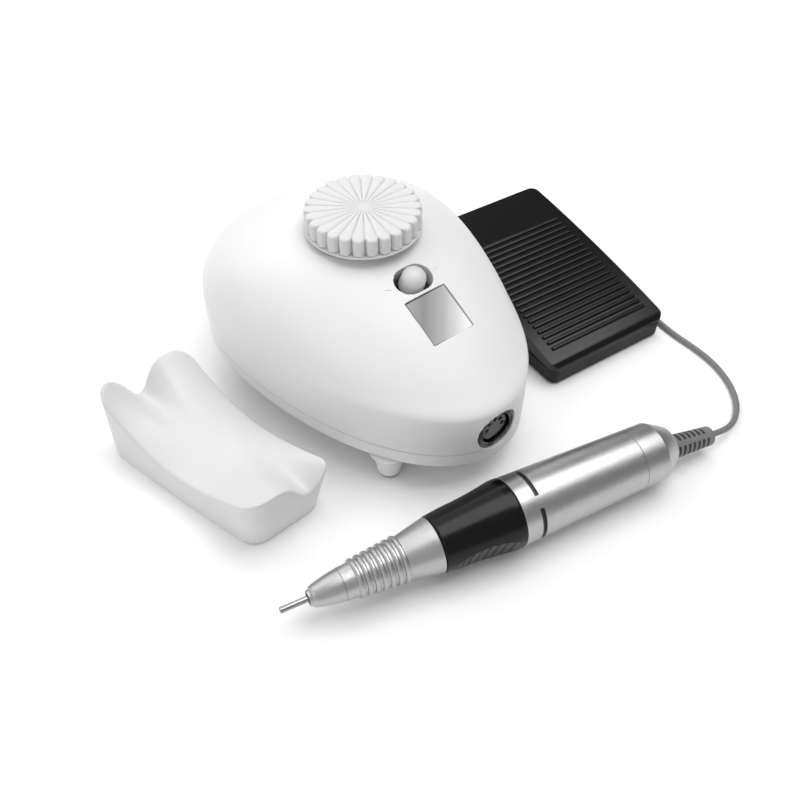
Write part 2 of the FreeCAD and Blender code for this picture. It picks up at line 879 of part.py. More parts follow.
turned(
    "handpiece_socket",
    [
        ("0", "-socket_depth"),
        ("socket_radius", "-socket_depth"),
        ("socket_radius", "-socket_edge"),
        ("socket_radius - socket_edge", "0"),
        ("socket_ring_bore", "0"),
        ("socket_ring_bore", "socket_floor - socket_depth"),
        ("0", "socket_floor - socket_depth"),
    ],
    SOCKET_PLACE,
)


def pin_spots():
    """Centres of five contacts over a half circle, the gap between their ends facing down."""
    ring = size("socket_pin_ring")
    angles = [math.radians(45 * step) for step in range(-2, 3)]
    return [vector(ring * math.sin(angle), ring * math.cos(angle)) for angle in angles]


def socket_insert():
    top = -size("socket_insert_sink")
    low = size("socket_floor - socket_depth")
    radius = size("socket_insert_radius")
    insert = cylinder(radius, top - low, vector(0, 0, low))
    depth = size("socket_hole_depth")
    for spot in pin_spots():
        hole = cylinder(size("socket_pin_hole"), depth + 1, spot + vector(0, 0, top - depth))
        insert = insert.cut(hole)
    return insert.cut(centred_box(size("socket_key_width"), 2.4, 6, y=-radius, z=top - 5))


plain_shape("socket_insert", socket_insert(), SOCKET_PLACE)

# Control unit: rear fittings, their own Z axis pointing out of the back


def rear_place(step):
    spot = rear_spot(step)
    return on_table(spot.x, spot.y, spot.z, turn(vector(1, 0, 0), -90))


turned(
    "mains_gland",
    [
        ("gland_bore", "-rear_depth"),
        ("gland_radius - rear_neck", "-rear_depth"),
        ("gland_radius - rear_neck", "0.5"),
        ("gland_radius", "0.5"),
        ("gland_radius", "2.4"),
        ("gland_radius - 1", "gland_reach"),
        ("gland_bore", "gland_reach"),
    ],
    rear_place(0),
)
turned(
    "fuse_holder",
    [
        ("0", "-rear_depth"),
        ("fuse_radius - rear_neck", "-rear_depth"),
        ("fuse_radius - rear_neck", "1.8"),
        ("fuse_radius", "1.8"),
        ("fuse_radius", "3.6"),
        ("fuse_radius - 1.6", "3.6"),
        ("fuse_radius - 1.8", "fuse_reach"),
        ("0", "fuse_reach"),
    ],
    rear_place(-1),
)
turned(
    "pedal_jack",
    [
        ("0", "-rear_depth - 1"),
        ("jack_radius", "-rear_depth - 1"),
        ("jack_radius", "1.6"),
        ("jack_nut_radius", "1.6"),
        ("jack_nut_radius", "3.2"),
        ("jack_radius", "3.2"),
        ("jack_radius", "jack_reach"),
        ("jack_bore", "jack_reach"),
        ("jack_bore", "-rear_depth"),
        ("0", "-rear_depth"),
    ],
    rear_place(1),
)

# Control unit: electronics

TRAY_FLOOR = size("unit_base_height + unit_wall")
BOARD_LEVEL = TRAY_FLOOR + size("board_stand")
block(
    "control_board",
    "board_width",
    "board_length",
    "board_thick",
    on_table(0, size("board_y"), BOARD_LEVEL),
)


def board_components():
    """Two reservoir capacitors, a finned heat sink and a connector strip, spread on the board."""
    column = size("board_width / 4")
    row = size("board_length / 4")
    fin_height = 14.0
    fin_pitch = 6.0
    sink_length = 16.0
    plate = centred_box(2 * fin_pitch + 1.2, sink_length, 2.5, column, row / 4)
    fins = [
        centred_box(1.2, sink_length, fin_height, column + step * fin_pitch, row / 4, 1)
        for step in (-1, 0, 1)
    ]
    large = cylinder(5.0, 16.0, vector(-column, row, 0))
    small = cylinder(4.0, 12.0, vector(-column, -row / 4, 0))
    strip = centred_box(2 * column, 6, 8, 0, -1.5 * row)
    return Part.Compound([large, small, fused([plate] + fins), strip])


plain_shape(
    "board_components",
    board_components(),
    on_table(0, size("board_y"), BOARD_LEVEL + size("board_thick")),
)

TRANSFORMER_PLACE = on_table(0, size("transformer_y"), TRAY_FLOOR)
TRANSFORMER_LEG = size("transformer_width / 6")


def transformer_core():
    """Laminated core with two windows beside its middle leg."""
    width = size("transformer_width")
    height = size("transformer_height")
    stack = size("transformer_stack")
    leg = TRANSFORMER_LEG
    core = centred_box(width, stack, height)
    for side in (-1, 1):
        core = core.cut(centred_box(leg, stack + 2, height - 2 * leg, side * leg * 1.5, 0, leg))
    return core


def transformer_coil():
    """Bobbin round the middle leg, which fills the two windows."""
    leg = TRANSFORMER_LEG
    gap = size("slip_gap")
    height = size("transformer_height") - 2 * leg - 2 * gap
    stack = size("transformer_stack")
    reach = size("transformer_coil_reach")
    coil = centred_box(4 * leg - 2 * gap, stack + 2 * reach, height, z=leg + gap)
    hole = centred_box(2 * leg + 2 * gap, stack + 2 * gap, height, z=leg + gap)
    return coil.makeFillet(reach / 2, upright_edges(coil)).cut(hole)


plain_shape("transformer_core", transformer_core(), TRANSFORMER_PLACE)
plain_shape("transformer_coil", transformer_coil(), TRANSFORMER_PLACE)

# Handpiece, modelled along its own Z axis from the tip of the nose to the tail, its X axis up

HANDPIECE_YAW = math.radians(size("handpiece_yaw"))
HANDPIECE_LINE = vector(math.cos(HANDPIECE_YAW), math.sin(HANDPIECE_YAW), 0)
HANDPIECE_TURN = FreeCAD.Rotation(UP, HANDPIECE_LINE.cross(UP), HANDPIECE_LINE, "ZXY")
HANDPIECE_PLACE = on_table(
    size("handpiece_nose_x"),
    size("-unit_front_reach - handpiece_unit_gap"),
    size("ring_back_radius"),
    HANDPIECE_TURN,
)
CONE_END = "nose_length + cone_length"
RING_END = CONE_END + " + ring_length"
BODY_END = RING_END + " + body_length"
TAIL_END = BODY_END + " + tail_length"

turned(
    "nose_cap",
    [
        ("collet_radius + 0.3", "0"),
        ("nose_tip_radius - 0.4", "0"),
        ("nose_tip_radius", "0.5"),
        ("nose_root_radius", "nose_length - seam_gap"),
        ("spindle_radius + 0.5", "nose_length - seam_gap"),
        ("spindle_radius + 0.5", "spindle_start - 0.5"),
        ("collet_radius + 0.3", "spindle_start - 0.5"),
    ],
    HANDPIECE_PLACE,
)


def grip_cone():
    """Front sleeve: a cone with seven finger ridges that widens evenly to the lock ring.

    The spindle runs in a bearing land at each end of its bore.
    """
    start = size("nose_length")
    end = size(CONE_END + " - seam_gap")
    first = size("ridge_first")
    pitch = size("ridge_pitch")
    count = int(size("ridge_count"))
    rise = size("ridge_rise")
    root = size("cone_root_radius")
    slope = size("ridge_base_last - ridge_base_first") / ((count - 1) * pitch)
    outline = [(size("nose_root_radius"), start)]
    for ridge in range(count):
        centre = first + ridge * pitch
        base = size("ridge_base_first") + slope * ridge * pitch
        outline.append((base - slope * pitch / 2, centre - pitch / 2))
        outline.append((base + rise, centre - pitch / 4))
        outline.append((base + rise, centre + pitch / 4))
    last = first + (count - 0.5) * pitch
    base = size("ridge_base_last") + slope * pitch / 2
    outline.append((base, last))
    outline.append((root, end))
    land = size("spindle_radius + running_gap")
    relief = size("spindle_radius") + 1
    joint = size("housing_tube_radius") - 2
    inner = [(joint, end), (joint, end - 5), (land, end - 5), (land, end - 11)]
    inner += [(relief, end - 11), (relief, start + 6), (land, start + 6), (land, start)]
    return turned_shape(outline + inner)


plain_shape("grip_cone", grip_cone(), HANDPIECE_PLACE)

turned(
    "chuck_housing",
    [
        ("housing_tube_radius - 3.6", CONE_END + " - 5"),
        ("housing_tube_radius - 2", CONE_END + " - 5"),
        ("housing_tube_radius - 2", CONE_END),
        ("housing_tube_radius", CONE_END),
        ("housing_tube_radius", RING_END + " + housing_tube_overlap"),
        ("housing_tube_bore", RING_END + " + housing_tube_overlap"),
        ("housing_tube_bore", CONE_END + " + 2"),
        ("housing_tube_radius - 3.6", CONE_END + " + 2"),
    ],
    HANDPIECE_PLACE,
)


def lock_ring():
    """Twist collar: a cone with three shallow finger scoops, each with ribs across it."""
    start = size(CONE_END + " + seam_gap")
    end = size(RING_END + " - seam_gap")
    front = size("ring_front_radius")
    back = size("ring_back_radius")
    bore = size("housing_tube_radius + running_gap")
    outline = [(bore, start), (front - 0.4, start), (front, start + 0.5)]
    outline += [(back, end - 3), (back, end), (bore, end)]
    ring = turned_shape(outline)
    length = size("ring_scoop_length")
    width = size("ring_scoop_width")
    curve = size("ring_scoop_curve")
    middle = (start + end) / 2 + 1
    lean = math.atan2(back - front, end - start)
    floor = (front + back) / 2 - size("ring_scoop_depth")
    scoop = cylinder(curve, width, vector(floor + curve, width / 2, 0), vector(0, -1, 0))
    scoop = scoop.common(Part.makeBox(20, width, length, vector(0, -width / 2, -length / 2)))
    count = int(size("ring_scoop_ribs"))
    rib_width = size("ring_scoop_rib_width")
    for rib in range(count):
        level = (rib - (count - 1) / 2) * size("ring_scoop_rib_pitch")
        sag = curve - math.sqrt(curve**2 - level**2)
        top = floor + sag + size("ring_scoop_rib_rise")
        scoop = scoop.cut(Part.makeBox(top, width, rib_width, vector(0, -width / 2, level - rib_width / 2)))
    place = moved(0, 0, middle, turn(vector(0, 1, 0), math.degrees(lean)))
    for angle in (90, 210, 330):
        ring = ring.cut(placed(scoop, moved(0, 0, 0, turn(UP, angle)) * place))
    return ring


plain_shape("lock_ring", lock_ring(), HANDPIECE_PLACE)


def body_sleeve():
    """Rear sleeve over the motor, with a ring slot broken by four bridges near its front."""
    start = size(RING_END + " + seam_gap")
    end = size(BODY_END + " - seam_gap")
    front = size("body_front_radius")
    motor = size("motor_radius")
    tube = size("housing_tube_radius")
    step = size(RING_END + " + housing_tube_overlap")
    outline = [(tube, start), (front, start), (size("body_back_radius"), end), (motor, end)]
    sleeve = turned_shape(outline + [(motor, step), (tube, step)])
    width = size("body_slot_width")
    low = start + size("body_slot_offset")
    floor = front - size("body_slot_depth")
    slot = cylinder(front + 1, width, vector(0, 0, low)).cut(cylinder(floor, width, vector(0, 0, low)))
    bridge = size("body_slot_bridge")
    for angle in (0, 90):
        bar = centred_box(bridge, 4 * front, width)
        slot = slot.cut(placed(bar, moved(0, 0, low, turn(UP, angle + 35))))
    return sleeve.cut(slot)


plain_shape("body_sleeve", body_sleeve(), HANDPIECE_PLACE)

# The boot leaves the tail a little below the axis and drops towards the table
BOOT_PLACE = moved(
    -size("boot_drop"),
    0,
    size(TAIL_END + " - boot_seat"),
    turn(vector(0, 1, 0), -size("boot_tilt")),
)


def end_cap():
    """Tail that closes the sleeve: a straight band, then a cone down to the cord boot."""
    start = size(BODY_END)
    end = size(TAIL_END)
    front = size("body_back_radius")
    back = size("tail_end_radius")
    edge = start + size("tail_straight")
    plug = size("motor_radius")
    outline = [(0, start - 4), (plug, start - 4), (plug, start), (front, start)]
    outline += [(front - 0.3, edge), (back + 0.6, end - 0.6), (back, end), (0, end)]
    seat = cylinder(size("boot_radius + slip_gap"), 30)
    return turned_shape(outline).cut(placed(seat, BOOT_PLACE))


plain_shape("end_cap", end_cap(), HANDPIECE_PLACE)


def cord_boot():
    """Bend protector: a tapered sleeve with a ladder of windows on either side."""
    length = size("boot_length")
    seat = size("boot_seat")
    wide = size("boot_radius")
    narrow = size("boot_end_radius")
    boot = turned_shape([(0, 0), (wide, 0), (wide, seat + 1), (narrow, length), (0, length)])
    pitch = size("boot_window_pitch")
    first = seat + 3.5
    for window in range(int(size("boot_windows"))):
        for side in (-1, 1):
            level = first + window * pitch
            depth = 2 * size("boot_window_depth")
            cut = centred_box(
                size("boot_window_height"), depth, size("boot_window_width"), 0, side * wide, level
            )
            boot = boot.cut(cut)
    return boot


plain_shape("cord_boot", cord_boot(), HANDPIECE_PLACE * BOOT_PLACE)

SPINDLE_END = "motor_start + motor_length - 2"
COLLET_END = "bit_inside + 2"
turned(
    "collet",
    [
        ("bit_radius + running_gap", "0.8"),
        ("collet_radius", "0.8"),
        ("collet_radius", COLLET_END),
        ("bit_radius + running_gap", COLLET_END),
    ],
    HANDPIECE_PLACE,
)
turned(
    "drive_spindle",
    [
        ("0", COLLET_END),
        ("collet_radius", COLLET_END),
        ("collet_radius", "spindle_start"),
        ("spindle_radius", "spindle_start"),
        ("spindle_radius", SPINDLE_END),
        ("0", SPINDLE_END),
    ],
    HANDPIECE_PLACE,
)
turned(
    "blank_bit",
    [
        ("0", "-bit_reach"),
        ("bit_radius - 0.3", "-bit_reach"),
        ("bit_radius", "-bit_reach + 0.3"),
        ("bit_radius", "bit_inside"),
        ("0", "bit_inside"),
    ],
    HANDPIECE_PLACE,
)
MOTOR_END = "motor_start + motor_length"
turned(
    "motor_can",
    [
        ("spindle_radius + 1", "motor_start"),
        ("motor_radius", "motor_start"),
        ("motor_radius", MOTOR_END),
        ("0", MOTOR_END),
        ("0", MOTOR_END + " - 1.2"),
        ("motor_bore", MOTOR_END + " - 1.2"),
        ("motor_bore", "motor_start + 1.2"),
        ("spindle_radius + 1", "motor_start + 1.2"),
    ],
    HANDPIECE_PLACE,
)
turned(
    "motor_rotor",
    [
        ("spindle_radius", "motor_start + 4"),
        ("rotor_radius", "motor_start + 4"),
        ("rotor_radius", "motor_start + 4 + rotor_length"),
        ("spindle_radius", "motor_start + 4 + rotor_length"),
    ],
    HANDPIECE_PLACE,
)

# Lead of the handpiece


def cord_section(start, direction):
    """Outline of the cord across its path, as a polygon."""
    count = int(size("cord_sides"))
    across = direction.cross(UP).normalize()
    over = across.cross(direction).normalize()
    radius = size("cord_radius")
    points = []
    for corner in range(count):
        angle = 2 * math.pi * (corner + 0.5) / count
        points.append(start + across * (radius * math.cos(angle)) + over * (radius * math.sin(angle)))
    return Part.makePolygon(points + points[:1])


def section_area():
    count = int(size("cord_sides"))
    return count / 2 * size("cord_radius") ** 2 * math.sin(2 * math.pi / count)


def swept_cord(label, edges):
    """Unbroken cord along tangent edges, its volume checked against its length."""
    path = Part.Wire(edges)
    start = edges[0].valueAt(edges[0].FirstParameter)
    direction = edges[0].tangentAt(edges[0].FirstParameter)
    cord = path.makePipeShell([cord_section(start, direction)], True, False)
    expected = section_area() * path.Length
    print(f"{label}: length {path.Length:.1f} mm, volume {cord.Volume / expected:.4f} of its sweep")
    return cord


def bent_path(label, points):
    """Straight runs joined by tangent arcs, each as large as its two runs allow."""
    edges = []
    radii = []
    here = points[0]
    for before, corner, after in zip(points, points[1:], points[2:]):
        back = (before - corner).normalize()
        ahead = (after - corner).normalize()
        reach = 0.45 * min((before - corner).Length, (after - corner).Length)
        half_turn = (math.pi - back.getAngle(ahead)) / 2
        radius = reach / math.tan(half_turn)
        start = corner + back * reach
        end = corner + ahead * reach
        inward = (back + ahead).normalize()
        middle = corner + inward * (radius / math.cos(half_turn) - radius)
        edges.append(Part.makeLine(here, start))
        edges.append(Part.Arc(start, middle, end).toShape())
        radii.append(round(radius, 1))
        here = end
    edges.append(Part.makeLine(here, points[-1]))
    print(f"{label}: bend radii {radii}")
    return edges


def table_point(x, y, z):
    return vector(x - size("set_middle_x"), y - size("set_middle_y"), z)


CORD_LEVEL = size("cord_height")
BOOT_END = (HANDPIECE_PLACE * BOOT_PLACE).multVec(vector(0, 0, size("boot_length")))
BOOT_AHEAD = (HANDPIECE_PLACE * BOOT_PLACE).multVec(vector(0, 0, size("boot_length") + 9))
COIL_LEAD = 2 * size("cord_radius")
COIL_START = table_point(size("coil_x"), size("coil_y - coil_radius"), CORD_LEVEL)

# Round the right side and the far end of the pedal, to the coil behind the control unit
HANDPIECE_CORD = [
    BOOT_END,
    BOOT_AHEAD,
    table_point(100.5, -157.3, 3.2),
    table_point(111.5, -150.8, 1.6),
    table_point(119.5, -140.5, CORD_LEVEL),
    table_point(124.2, -128.4, CORD_LEVEL),
    table_point(125.6, -115.6, CORD_LEVEL),
    table_point(125.4, -103.0, CORD_LEVEL),
    table_point(127.3, -89.0, CORD_LEVEL),
    table_point(130.2, -74.0, CORD_LEVEL),
    table_point(132.4, -58.0, CORD_LEVEL),
    table_point(133.8, -42.0, CORD_LEVEL),
    table_point(136.0, -26.0, CORD_LEVEL),
    table_point(137.4, -10.0, CORD_LEVEL),
    table_point(135.2, 5.5, CORD_LEVEL),
    table_point(126.0, 17.6, CORD_LEVEL),
    table_point(112.5, 23.3, CORD_LEVEL),
    table_point(98.6, 26.2, CORD_LEVEL),
    COIL_START + vector(COIL_LEAD + 12.9, 0, 0),
    COIL_START + vector(COIL_LEAD, 0, 0),
]
IDENTITY = FreeCAD.Placement()
plain_shape(
    "handpiece_cord", swept_cord("handpiece_cord", bent_path("handpiece_cord", HANDPIECE_CORD)), IDENTITY
)

COIL_IN_TURNS = size("coil_in_turns")
COIL_CLIMB_TURNS = size("coil_climb_turns")
COIL_TURNS = size("coil_turns")


def coil_point(turns):
    """Centre line of the coil: in on the lower layer, up in half a turn, out on the upper one."""
    inner = size("coil_radius - coil_step * coil_in_turns")
    if turns <= COIL_IN_TURNS:
        radius = size("coil_radius") - size("coil_step") * turns
        share = 0.0
    elif turns <= COIL_IN_TURNS + COIL_CLIMB_TURNS:
        radius = inner
        share = (turns - COIL_IN_TURNS) / COIL_CLIMB_TURNS
    else:
        radius = inner + size("coil_step") * (turns - COIL_IN_TURNS - COIL_CLIMB_TURNS)
        share = 1.0
    angle = -math.pi / 2 - 2 * math.pi * turns
    height = CORD_LEVEL + size("coil_rise") * (1 - math.cos(math.pi * share)) / 2
    x = size("coil_x") + radius * math.cos(angle)
    y = size("coil_y") + radius * math.sin(angle)
    return table_point(x, y, height)


def coil_heading(turns):
    """Direction of the coil's centre line, level and square at both of its ends."""
    reach = 0.04
    heading = coil_point(turns + reach) - coil_point(turns - reach)
    if turns == 0:
        heading = vector(-1, 0, 0)
    if turns == COIL_TURNS:
        heading = vector(0, 1, 0)
    return heading.normalize()


def tangent_arc(start, heading, end):
    """Arc that leaves start along heading and ends at end."""
    chord = end - start
    along = chord / chord.Length
    angle = heading.getAngle(chord)
    side = (heading - along * heading.dot(along)).normalize()
    middle = (start + end) / 2 + side * (chord.Length / 2 * math.tan(angle / 2))
    return Part.Arc(start, middle, end).toShape()


def biarc(start, heading, end, last_heading):
    """Two tangent arcs from one point and direction to another."""
    gap = end - start
    total = heading + last_heading
    bend = 2 * (1 - heading.dot(last_heading))
    reach = (math.sqrt(gap.dot(total) ** 2 + bend * gap.dot(gap)) - gap.dot(total)) / bend
    joint = (start + end + (heading - last_heading) * reach) / 2
    first = tangent_arc(start, heading, joint)
    joint_heading = first.tangentAt(first.LastParameter)
    return [first, tangent_arc(joint, joint_heading, end)]


def coil_path():
    edges = [Part.makeLine(COIL_START + vector(COIL_LEAD, 0, 0), COIL_START)]
    quarters = int(COIL_TURNS * 4)
    for quarter in range(quarters):
        turns = quarter / 4
        after = (quarter + 1) / 4
        edges += biarc(coil_point(turns), coil_heading(turns), coil_point(after), coil_heading(after))
    end = coil_point(COIL_TURNS)
    edges.append(Part.makeLine(end, end + vector(0, COIL_LEAD, 0)))
    return edges


def least_gap(edges):
    """Smallest clear distance between turns, from points along the coil's centre line."""
    points = []
    for edge in edges:
        points += edge.discretize(9)[:-1]
    spacing = sum(edge.Length for edge in edges) / len(points)
    skip = int(4 * size("coil_radius") / spacing / 2)
    gaps = []
    for index, point in enumerate(points):
        gaps += [point.distanceToPoint(other) for other in points[index + skip :]]
    return min(gaps) - 2 * size("cord_radius")


COIL_PATH = coil_path()
print(f"cord_coil: least gap between turns {least_gap(COIL_PATH):.2f} mm")
plain_shape("cord_coil", swept_cord("cord_coil", COIL_PATH), IDENTITY)

COIL_END = COIL_PATH[-1].valueAt(COIL_PATH[-1].LastParameter)
PLUG_LEVEL = size("plug_radius") + 0.1
PLUG_START = table_point(28.0, 72.5, PLUG_LEVEL)
PLUG_LEAD = [COIL_END, COIL_END + vector(0, 9, 0), PLUG_START + vector(9, 0, 0), PLUG_START]
plain_shape("plug_lead", swept_cord("plug_lead", bent_path("plug_lead", PLUG_LEAD)), IDENTITY)

# Plug, its own Z axis pointing from the lead to the pins

PLUG_PLACE = FreeCAD.Placement(PLUG_START, FreeCAD.Rotation(UP, vector(-1, 0, 0)))
PLUG_END = "plug_boot_length + plug_length"
PLUG_RIM = "socket_insert_radius + slip_gap"
turned(
    "plug_boot",
    [
        ("0", "0"),
        ("boot_end_radius", "0"),
        ("boot_radius", "plug_boot_length"),
        ("0", "plug_boot_length"),
    ],
    PLUG_PLACE,
)
turned(
    "plug_grip",
    [
        ("0", "plug_boot_length"),
        ("plug_radius - 1", "plug_boot_length"),
        ("plug_radius", "plug_boot_length + 3"),
        ("plug_radius", PLUG_END),
        ("0", PLUG_END),
    ],
    PLUG_PLACE,
)


def plug_shell():
    """Metal rim that slides into the socket round its insert, with a web that holds the pins."""
    inner = size(PLUG_RIM)
    outer = inner + size("plug_wall")
    low = size(PLUG_END)
    high = low + size("plug_shell_length")
    outline = [(0, low), (outer, low), (outer, high), (inner, high)]
    return turned_shape(outline + [(inner, low + 1), (0, low + 1)])


plain_shape("plug_shell", plug_shell(), PLUG_PLACE)


def plug_pins():
    low = size(PLUG_END) + 1
    length = size("plug_shell_length") - 2.5
    return Part.Compound(
        [cylinder(size("plug_pin_radius"), length, spot + vector(0, 0, low)) for spot in pin_spots()]
    )


plain_shape("plug_pins", plug_pins(), PLUG_PLACE)

# Handpiece rest, its own Y axis along its length


def rest_height(x, y):
    """Top of the rest: a low cambered waist that sweeps up to two notched ends."""
    name = "front" if y < 0 else "back"
    share = abs(y) / size(f"rest_{name}_rim_reach")
    across = x / size("rest_rim_waist")
    waist = size("rest_mid_height") - size("rest_camber") * across**2
    rise = (size(f"rest_{name}_height") - waist) * share ** size(f"rest_{name}_sweep")
    offset = (x - size(f"rest_{name}_notch_x")) / size(f"rest_{name}_notch_width")
    notch = size(f"rest_{name}_notch_depth") * math.exp(-offset * offset) * share**3
    return waist + rise - notch - size(f"rest_{name}_tilt") * across * share**2


def rest_outline(part, height):
    """Plan of the rest at its foot or its rim: bowed sides and ends between round corners."""
    waist = size(f"rest_{part}_waist")
    corner = size(f"rest_{part}_corner")
    arcs = []
    for name, facing in (("front", -1), ("back", 1)):
        half = size(f"rest_{name}_{part}_half")
        reach = size(f"rest_{name}_{part}_reach")
        skew = size(f"rest_{name}_skew")
        for side in (facing, -facing):
            arc = []
            for angle in (0, 45, 90):
                x = half - corner + corner * math.cos(math.radians(angle))
                y = reach - corner + corner * math.sin(math.radians(angle))
                arc.append(vector(side * x, facing * (y + skew * side * x), height))
            arcs.append(arc if side == facing else arc[::-1])
    edges = []
    for index, arc in enumerate(arcs):
        after = arcs[(index + 1) % 4]
        edges.append(Part.Arc(*arc).toShape())
        if index % 2:
            middle = vector(math.copysign(waist, arc[-1].x), 0, height)
            edges.append(Part.Arc(arc[-1], middle, after[0]).toShape())
        else:
            edges.append(Part.makeLine(arc[-1], after[0]))
    return Part.Wire(edges)


def rest_section(y):
    """Section across the rest, wider than its walls: a flat underside and one curve on top."""
    half = size("rest_back_rim_half") + 6
    count = 10
    top = []
    for step in range(count + 1):
        x = half * (2 * step / count - 1)
        top.append(vector(x, y, rest_height(x, y)))
    curve = Part.BSplineCurve()
    curve.interpolate(top)
    base = Part.makePolygon([top[-1], vector(half, y, -1), vector(-half, y, -1), top[0]])
    return Part.Wire([curve.toShape()] + base.Edges)


def handpiece_rest():
    """Walls that lean out from the foot to the rim, cut off by the curved top."""
    outlines = [rest_outline("foot", 0), rest_outline("rim", size("rest_wall_top"))]
    walls = Part.makeLoft(outlines, True, True)
    front = size("rest_front_rim_reach") + 6
    back = size("rest_back_rim_reach") + 6
    sections = [rest_section(-front * share) for share in (1, 0.86, 0.7, 0.5, 0.25)]
    sections += [rest_section(back * share) for share in (0, 0.25, 0.5, 0.7, 0.86, 1)]
    return walls.common(Part.makeLoft(sections, True, False))


REST_PLACE = on_table(
    size("-unit_half_width - rest_unit_gap"), size("rest_y"), 0, turn(UP, size("rest_yaw"))
)
plain_shape("handpiece_rest", handpiece_rest(), REST_PLACE)

# Foot pedal, its own X axis along its width and its Y axis from the hinge to the far end

PEDAL_PLACE = on_table(
    size("unit_half_width - pedal_unit_gap"), size("pedal_y"), 0, turn(UP, size("pedal_yaw"))
)
PEDAL_FLOOR_TOP = "pedal_foot_height + pedal_floor"


def pedal_column(inset, low, high):
    """Upright block with the pedal's outline drawn in by inset, its corners rounded."""
    width = size("pedal_width") - 2 * inset
    length = size("pedal_length") - 2 * inset
    column = Part.makeBox(width, length, high - low, vector(inset, inset, low))
    return column.makeFillet(size("pedal_corner") - min(inset, 2.5), upright_edges(column))


def side_solid(outline, inset=0.0):
    """Solid across the pedal's width from edges drawn in its side view."""
    face = Part.Face(Part.Wire(outline))
    solid = face.extrude(vector(size("pedal_width") - 2 * inset, 0, 0))
    solid.translate(vector(inset, 0, 0))
    return solid


def side_polygon(corners):
    points = [vector(0, y, z) for y, z in corners]
    return Part.makePolygon(points + points[:1]).Edges


def pedal_base():
    """Base with a low outer wall and an inner wall that rises inside the cover."""
    foot = size("pedal_foot_height")
    floor = size(PEDAL_FLOOR_TOP)
    wall = size("pedal_wall")
    inner = size("pedal_inner_inset")
    length = size("pedal_length")
    outer = pedal_column(0, foot, size("pedal_base_height"))
    outer = outer.cut(pedal_column(wall, floor, 40))
    ring = pedal_column(inner, floor - 0.5, 40).cut(pedal_column(inner + wall, floor - 1, 41))
    near = size("pedal_inner_near")
    far = size("pedal_inner_far")
    slope = side_solid(side_polygon([(0, 0), (length, 0), (length, far), (0, near)]))
    base = fused([outer, ring.common(slope)])
    y = size("pedal_hinge_y")
    z = size("pedal_hinge_height")
    bore = cylinder(size("pedal_pin_radius"), size("pedal_width"), vector(0, y, z), vector(1, 0, 0))
    keep_in = Part.makeBox(size("pedal_width - 2 * pedal_inner_inset"), 20, 20, vector(inner, 0, 0))
    gland = cylinder(
        size("pedal_gland_radius"), 10, vector(size("pedal_width / 2"), length - 8, z), vector(0, 1, 0)
    )
    return base.cut(bore.common(keep_in)).cut(gland)


plain_shape("pedal_base", pedal_base(), PEDAL_PLACE)


def pedal_feet():
    inset = size("pedal_foot_inset")
    spots = []
    for x in (inset, size("pedal_width") - inset):
        spots += [vector(x, inset, 0), vector(x, size("pedal_length") - inset, 0)]
    radius = size("pedal_foot_radius")
    return Part.Compound([cylinder(radius, size("pedal_foot_height"), spot) for spot in spots])


plain_shape("pedal_feet", pedal_feet(), PEDAL_PLACE)


def top_arc(lower):
    """Arc of the pedal's top in side view, moved down by lower."""
    length = size("pedal_length")
    near = size("pedal_near_height") - lower
    far = size("pedal_far_height") - lower
    middle = (near + far) / 2 + size("pedal_crown")
    return Part.Arc(vector(0, 0, near), vector(0, length / 2, middle), vector(0, length, far))


def cover_form(inset, lower):
    """Wedge under the top arc, drawn in from the outline by inset."""
    length = size("pedal_length")
    arc = top_arc(lower)
    near = arc.StartPoint
    far = arc.EndPoint
    rim_near = vector(0, 0, size("pedal_rim_near") - (1 if inset else 0))
    rim_far = vector(0, length, size("pedal_rim_far") - (1 if inset else 0))
    outline = [arc.toShape(), Part.makeLine(far, rim_far)]
    outline += [Part.makeLine(rim_far, rim_near), Part.makeLine(rim_near, near)]
    wedge = side_solid(outline)
    return wedge.common(pedal_column(inset, 0, 60))


def pedal_cover():
    """Pressed cover: a crowned wedge with cross ribs, hollow below, on two hinge lugs."""
    width = size("pedal_width")
    skin = size("pedal_skin")
    outer = cover_form(0, 0)
    near_edges = []
    for edge in outer.Edges:
        box = edge.BoundBox
        if box.YMax < 0.01 and box.ZMin > size("pedal_near_height") - 0.01:
            near_edges.append(edge)
    outer = outer.makeFillet(size("pedal_near_round"), near_edges)
    cover = outer.cut(cover_form(skin, skin))
    arc = top_arc(0).toShape().Curve
    centre = arc.Center
    pieces = [cover]
    count = int(size("pedal_rib_count"))
    inset = size("pedal_rib_inset")
    near = size("pedal_rib_near")
    pitch = (size("pedal_rib_far") - near) / (count - 1)
    rib = Part.makeBox(width - 2 * inset, size("pedal_rib_width"), size("pedal_rib_height") + 0.5)
    for step in range(count):
        y = near + step * pitch
        lean = math.asin((y - centre.y) / arc.Radius)
        rotation = turn(vector(1, 0, 0), -math.degrees(lean))
        foot = arc.Radius - 0.5
        spot = centre + vector(0, math.sin(lean) * foot, math.cos(lean) * foot)
        back = rotation.multVec(vector(0, size("pedal_rib_width") / 2, 0))
        pieces.append(placed(rib, moved(inset, spot.y - back.y, spot.z - back.z, rotation)))
    hinge_y = size("pedal_hinge_y")
    hinge_z = size("pedal_hinge_height")
    reach = size("pedal_lug_reach")
    lug_low = hinge_z - reach + 0.8
    lug = Part.makeBox(size("pedal_lug_width"), 2 * reach, size("pedal_near_height") - lug_low)
    for x in (size("pedal_lug_x"), width - size("pedal_lug_x + pedal_lug_width")):
        pieces.append(placed(lug, moved(x, hinge_y - reach, lug_low)))
    pieces.append(switch_pusher())
    bore = size("pedal_pin_radius + running_gap")
    cover = fused(pieces)
    return cover.cut(cylinder(bore, width - 8, vector(4, hinge_y, hinge_z), vector(1, 0, 0)))


SWITCH_TOP = size(PEDAL_FLOOR_TOP + " + pedal_switch_height")
BUTTON_TOP = SWITCH_TOP + size("pedal_button_rise")


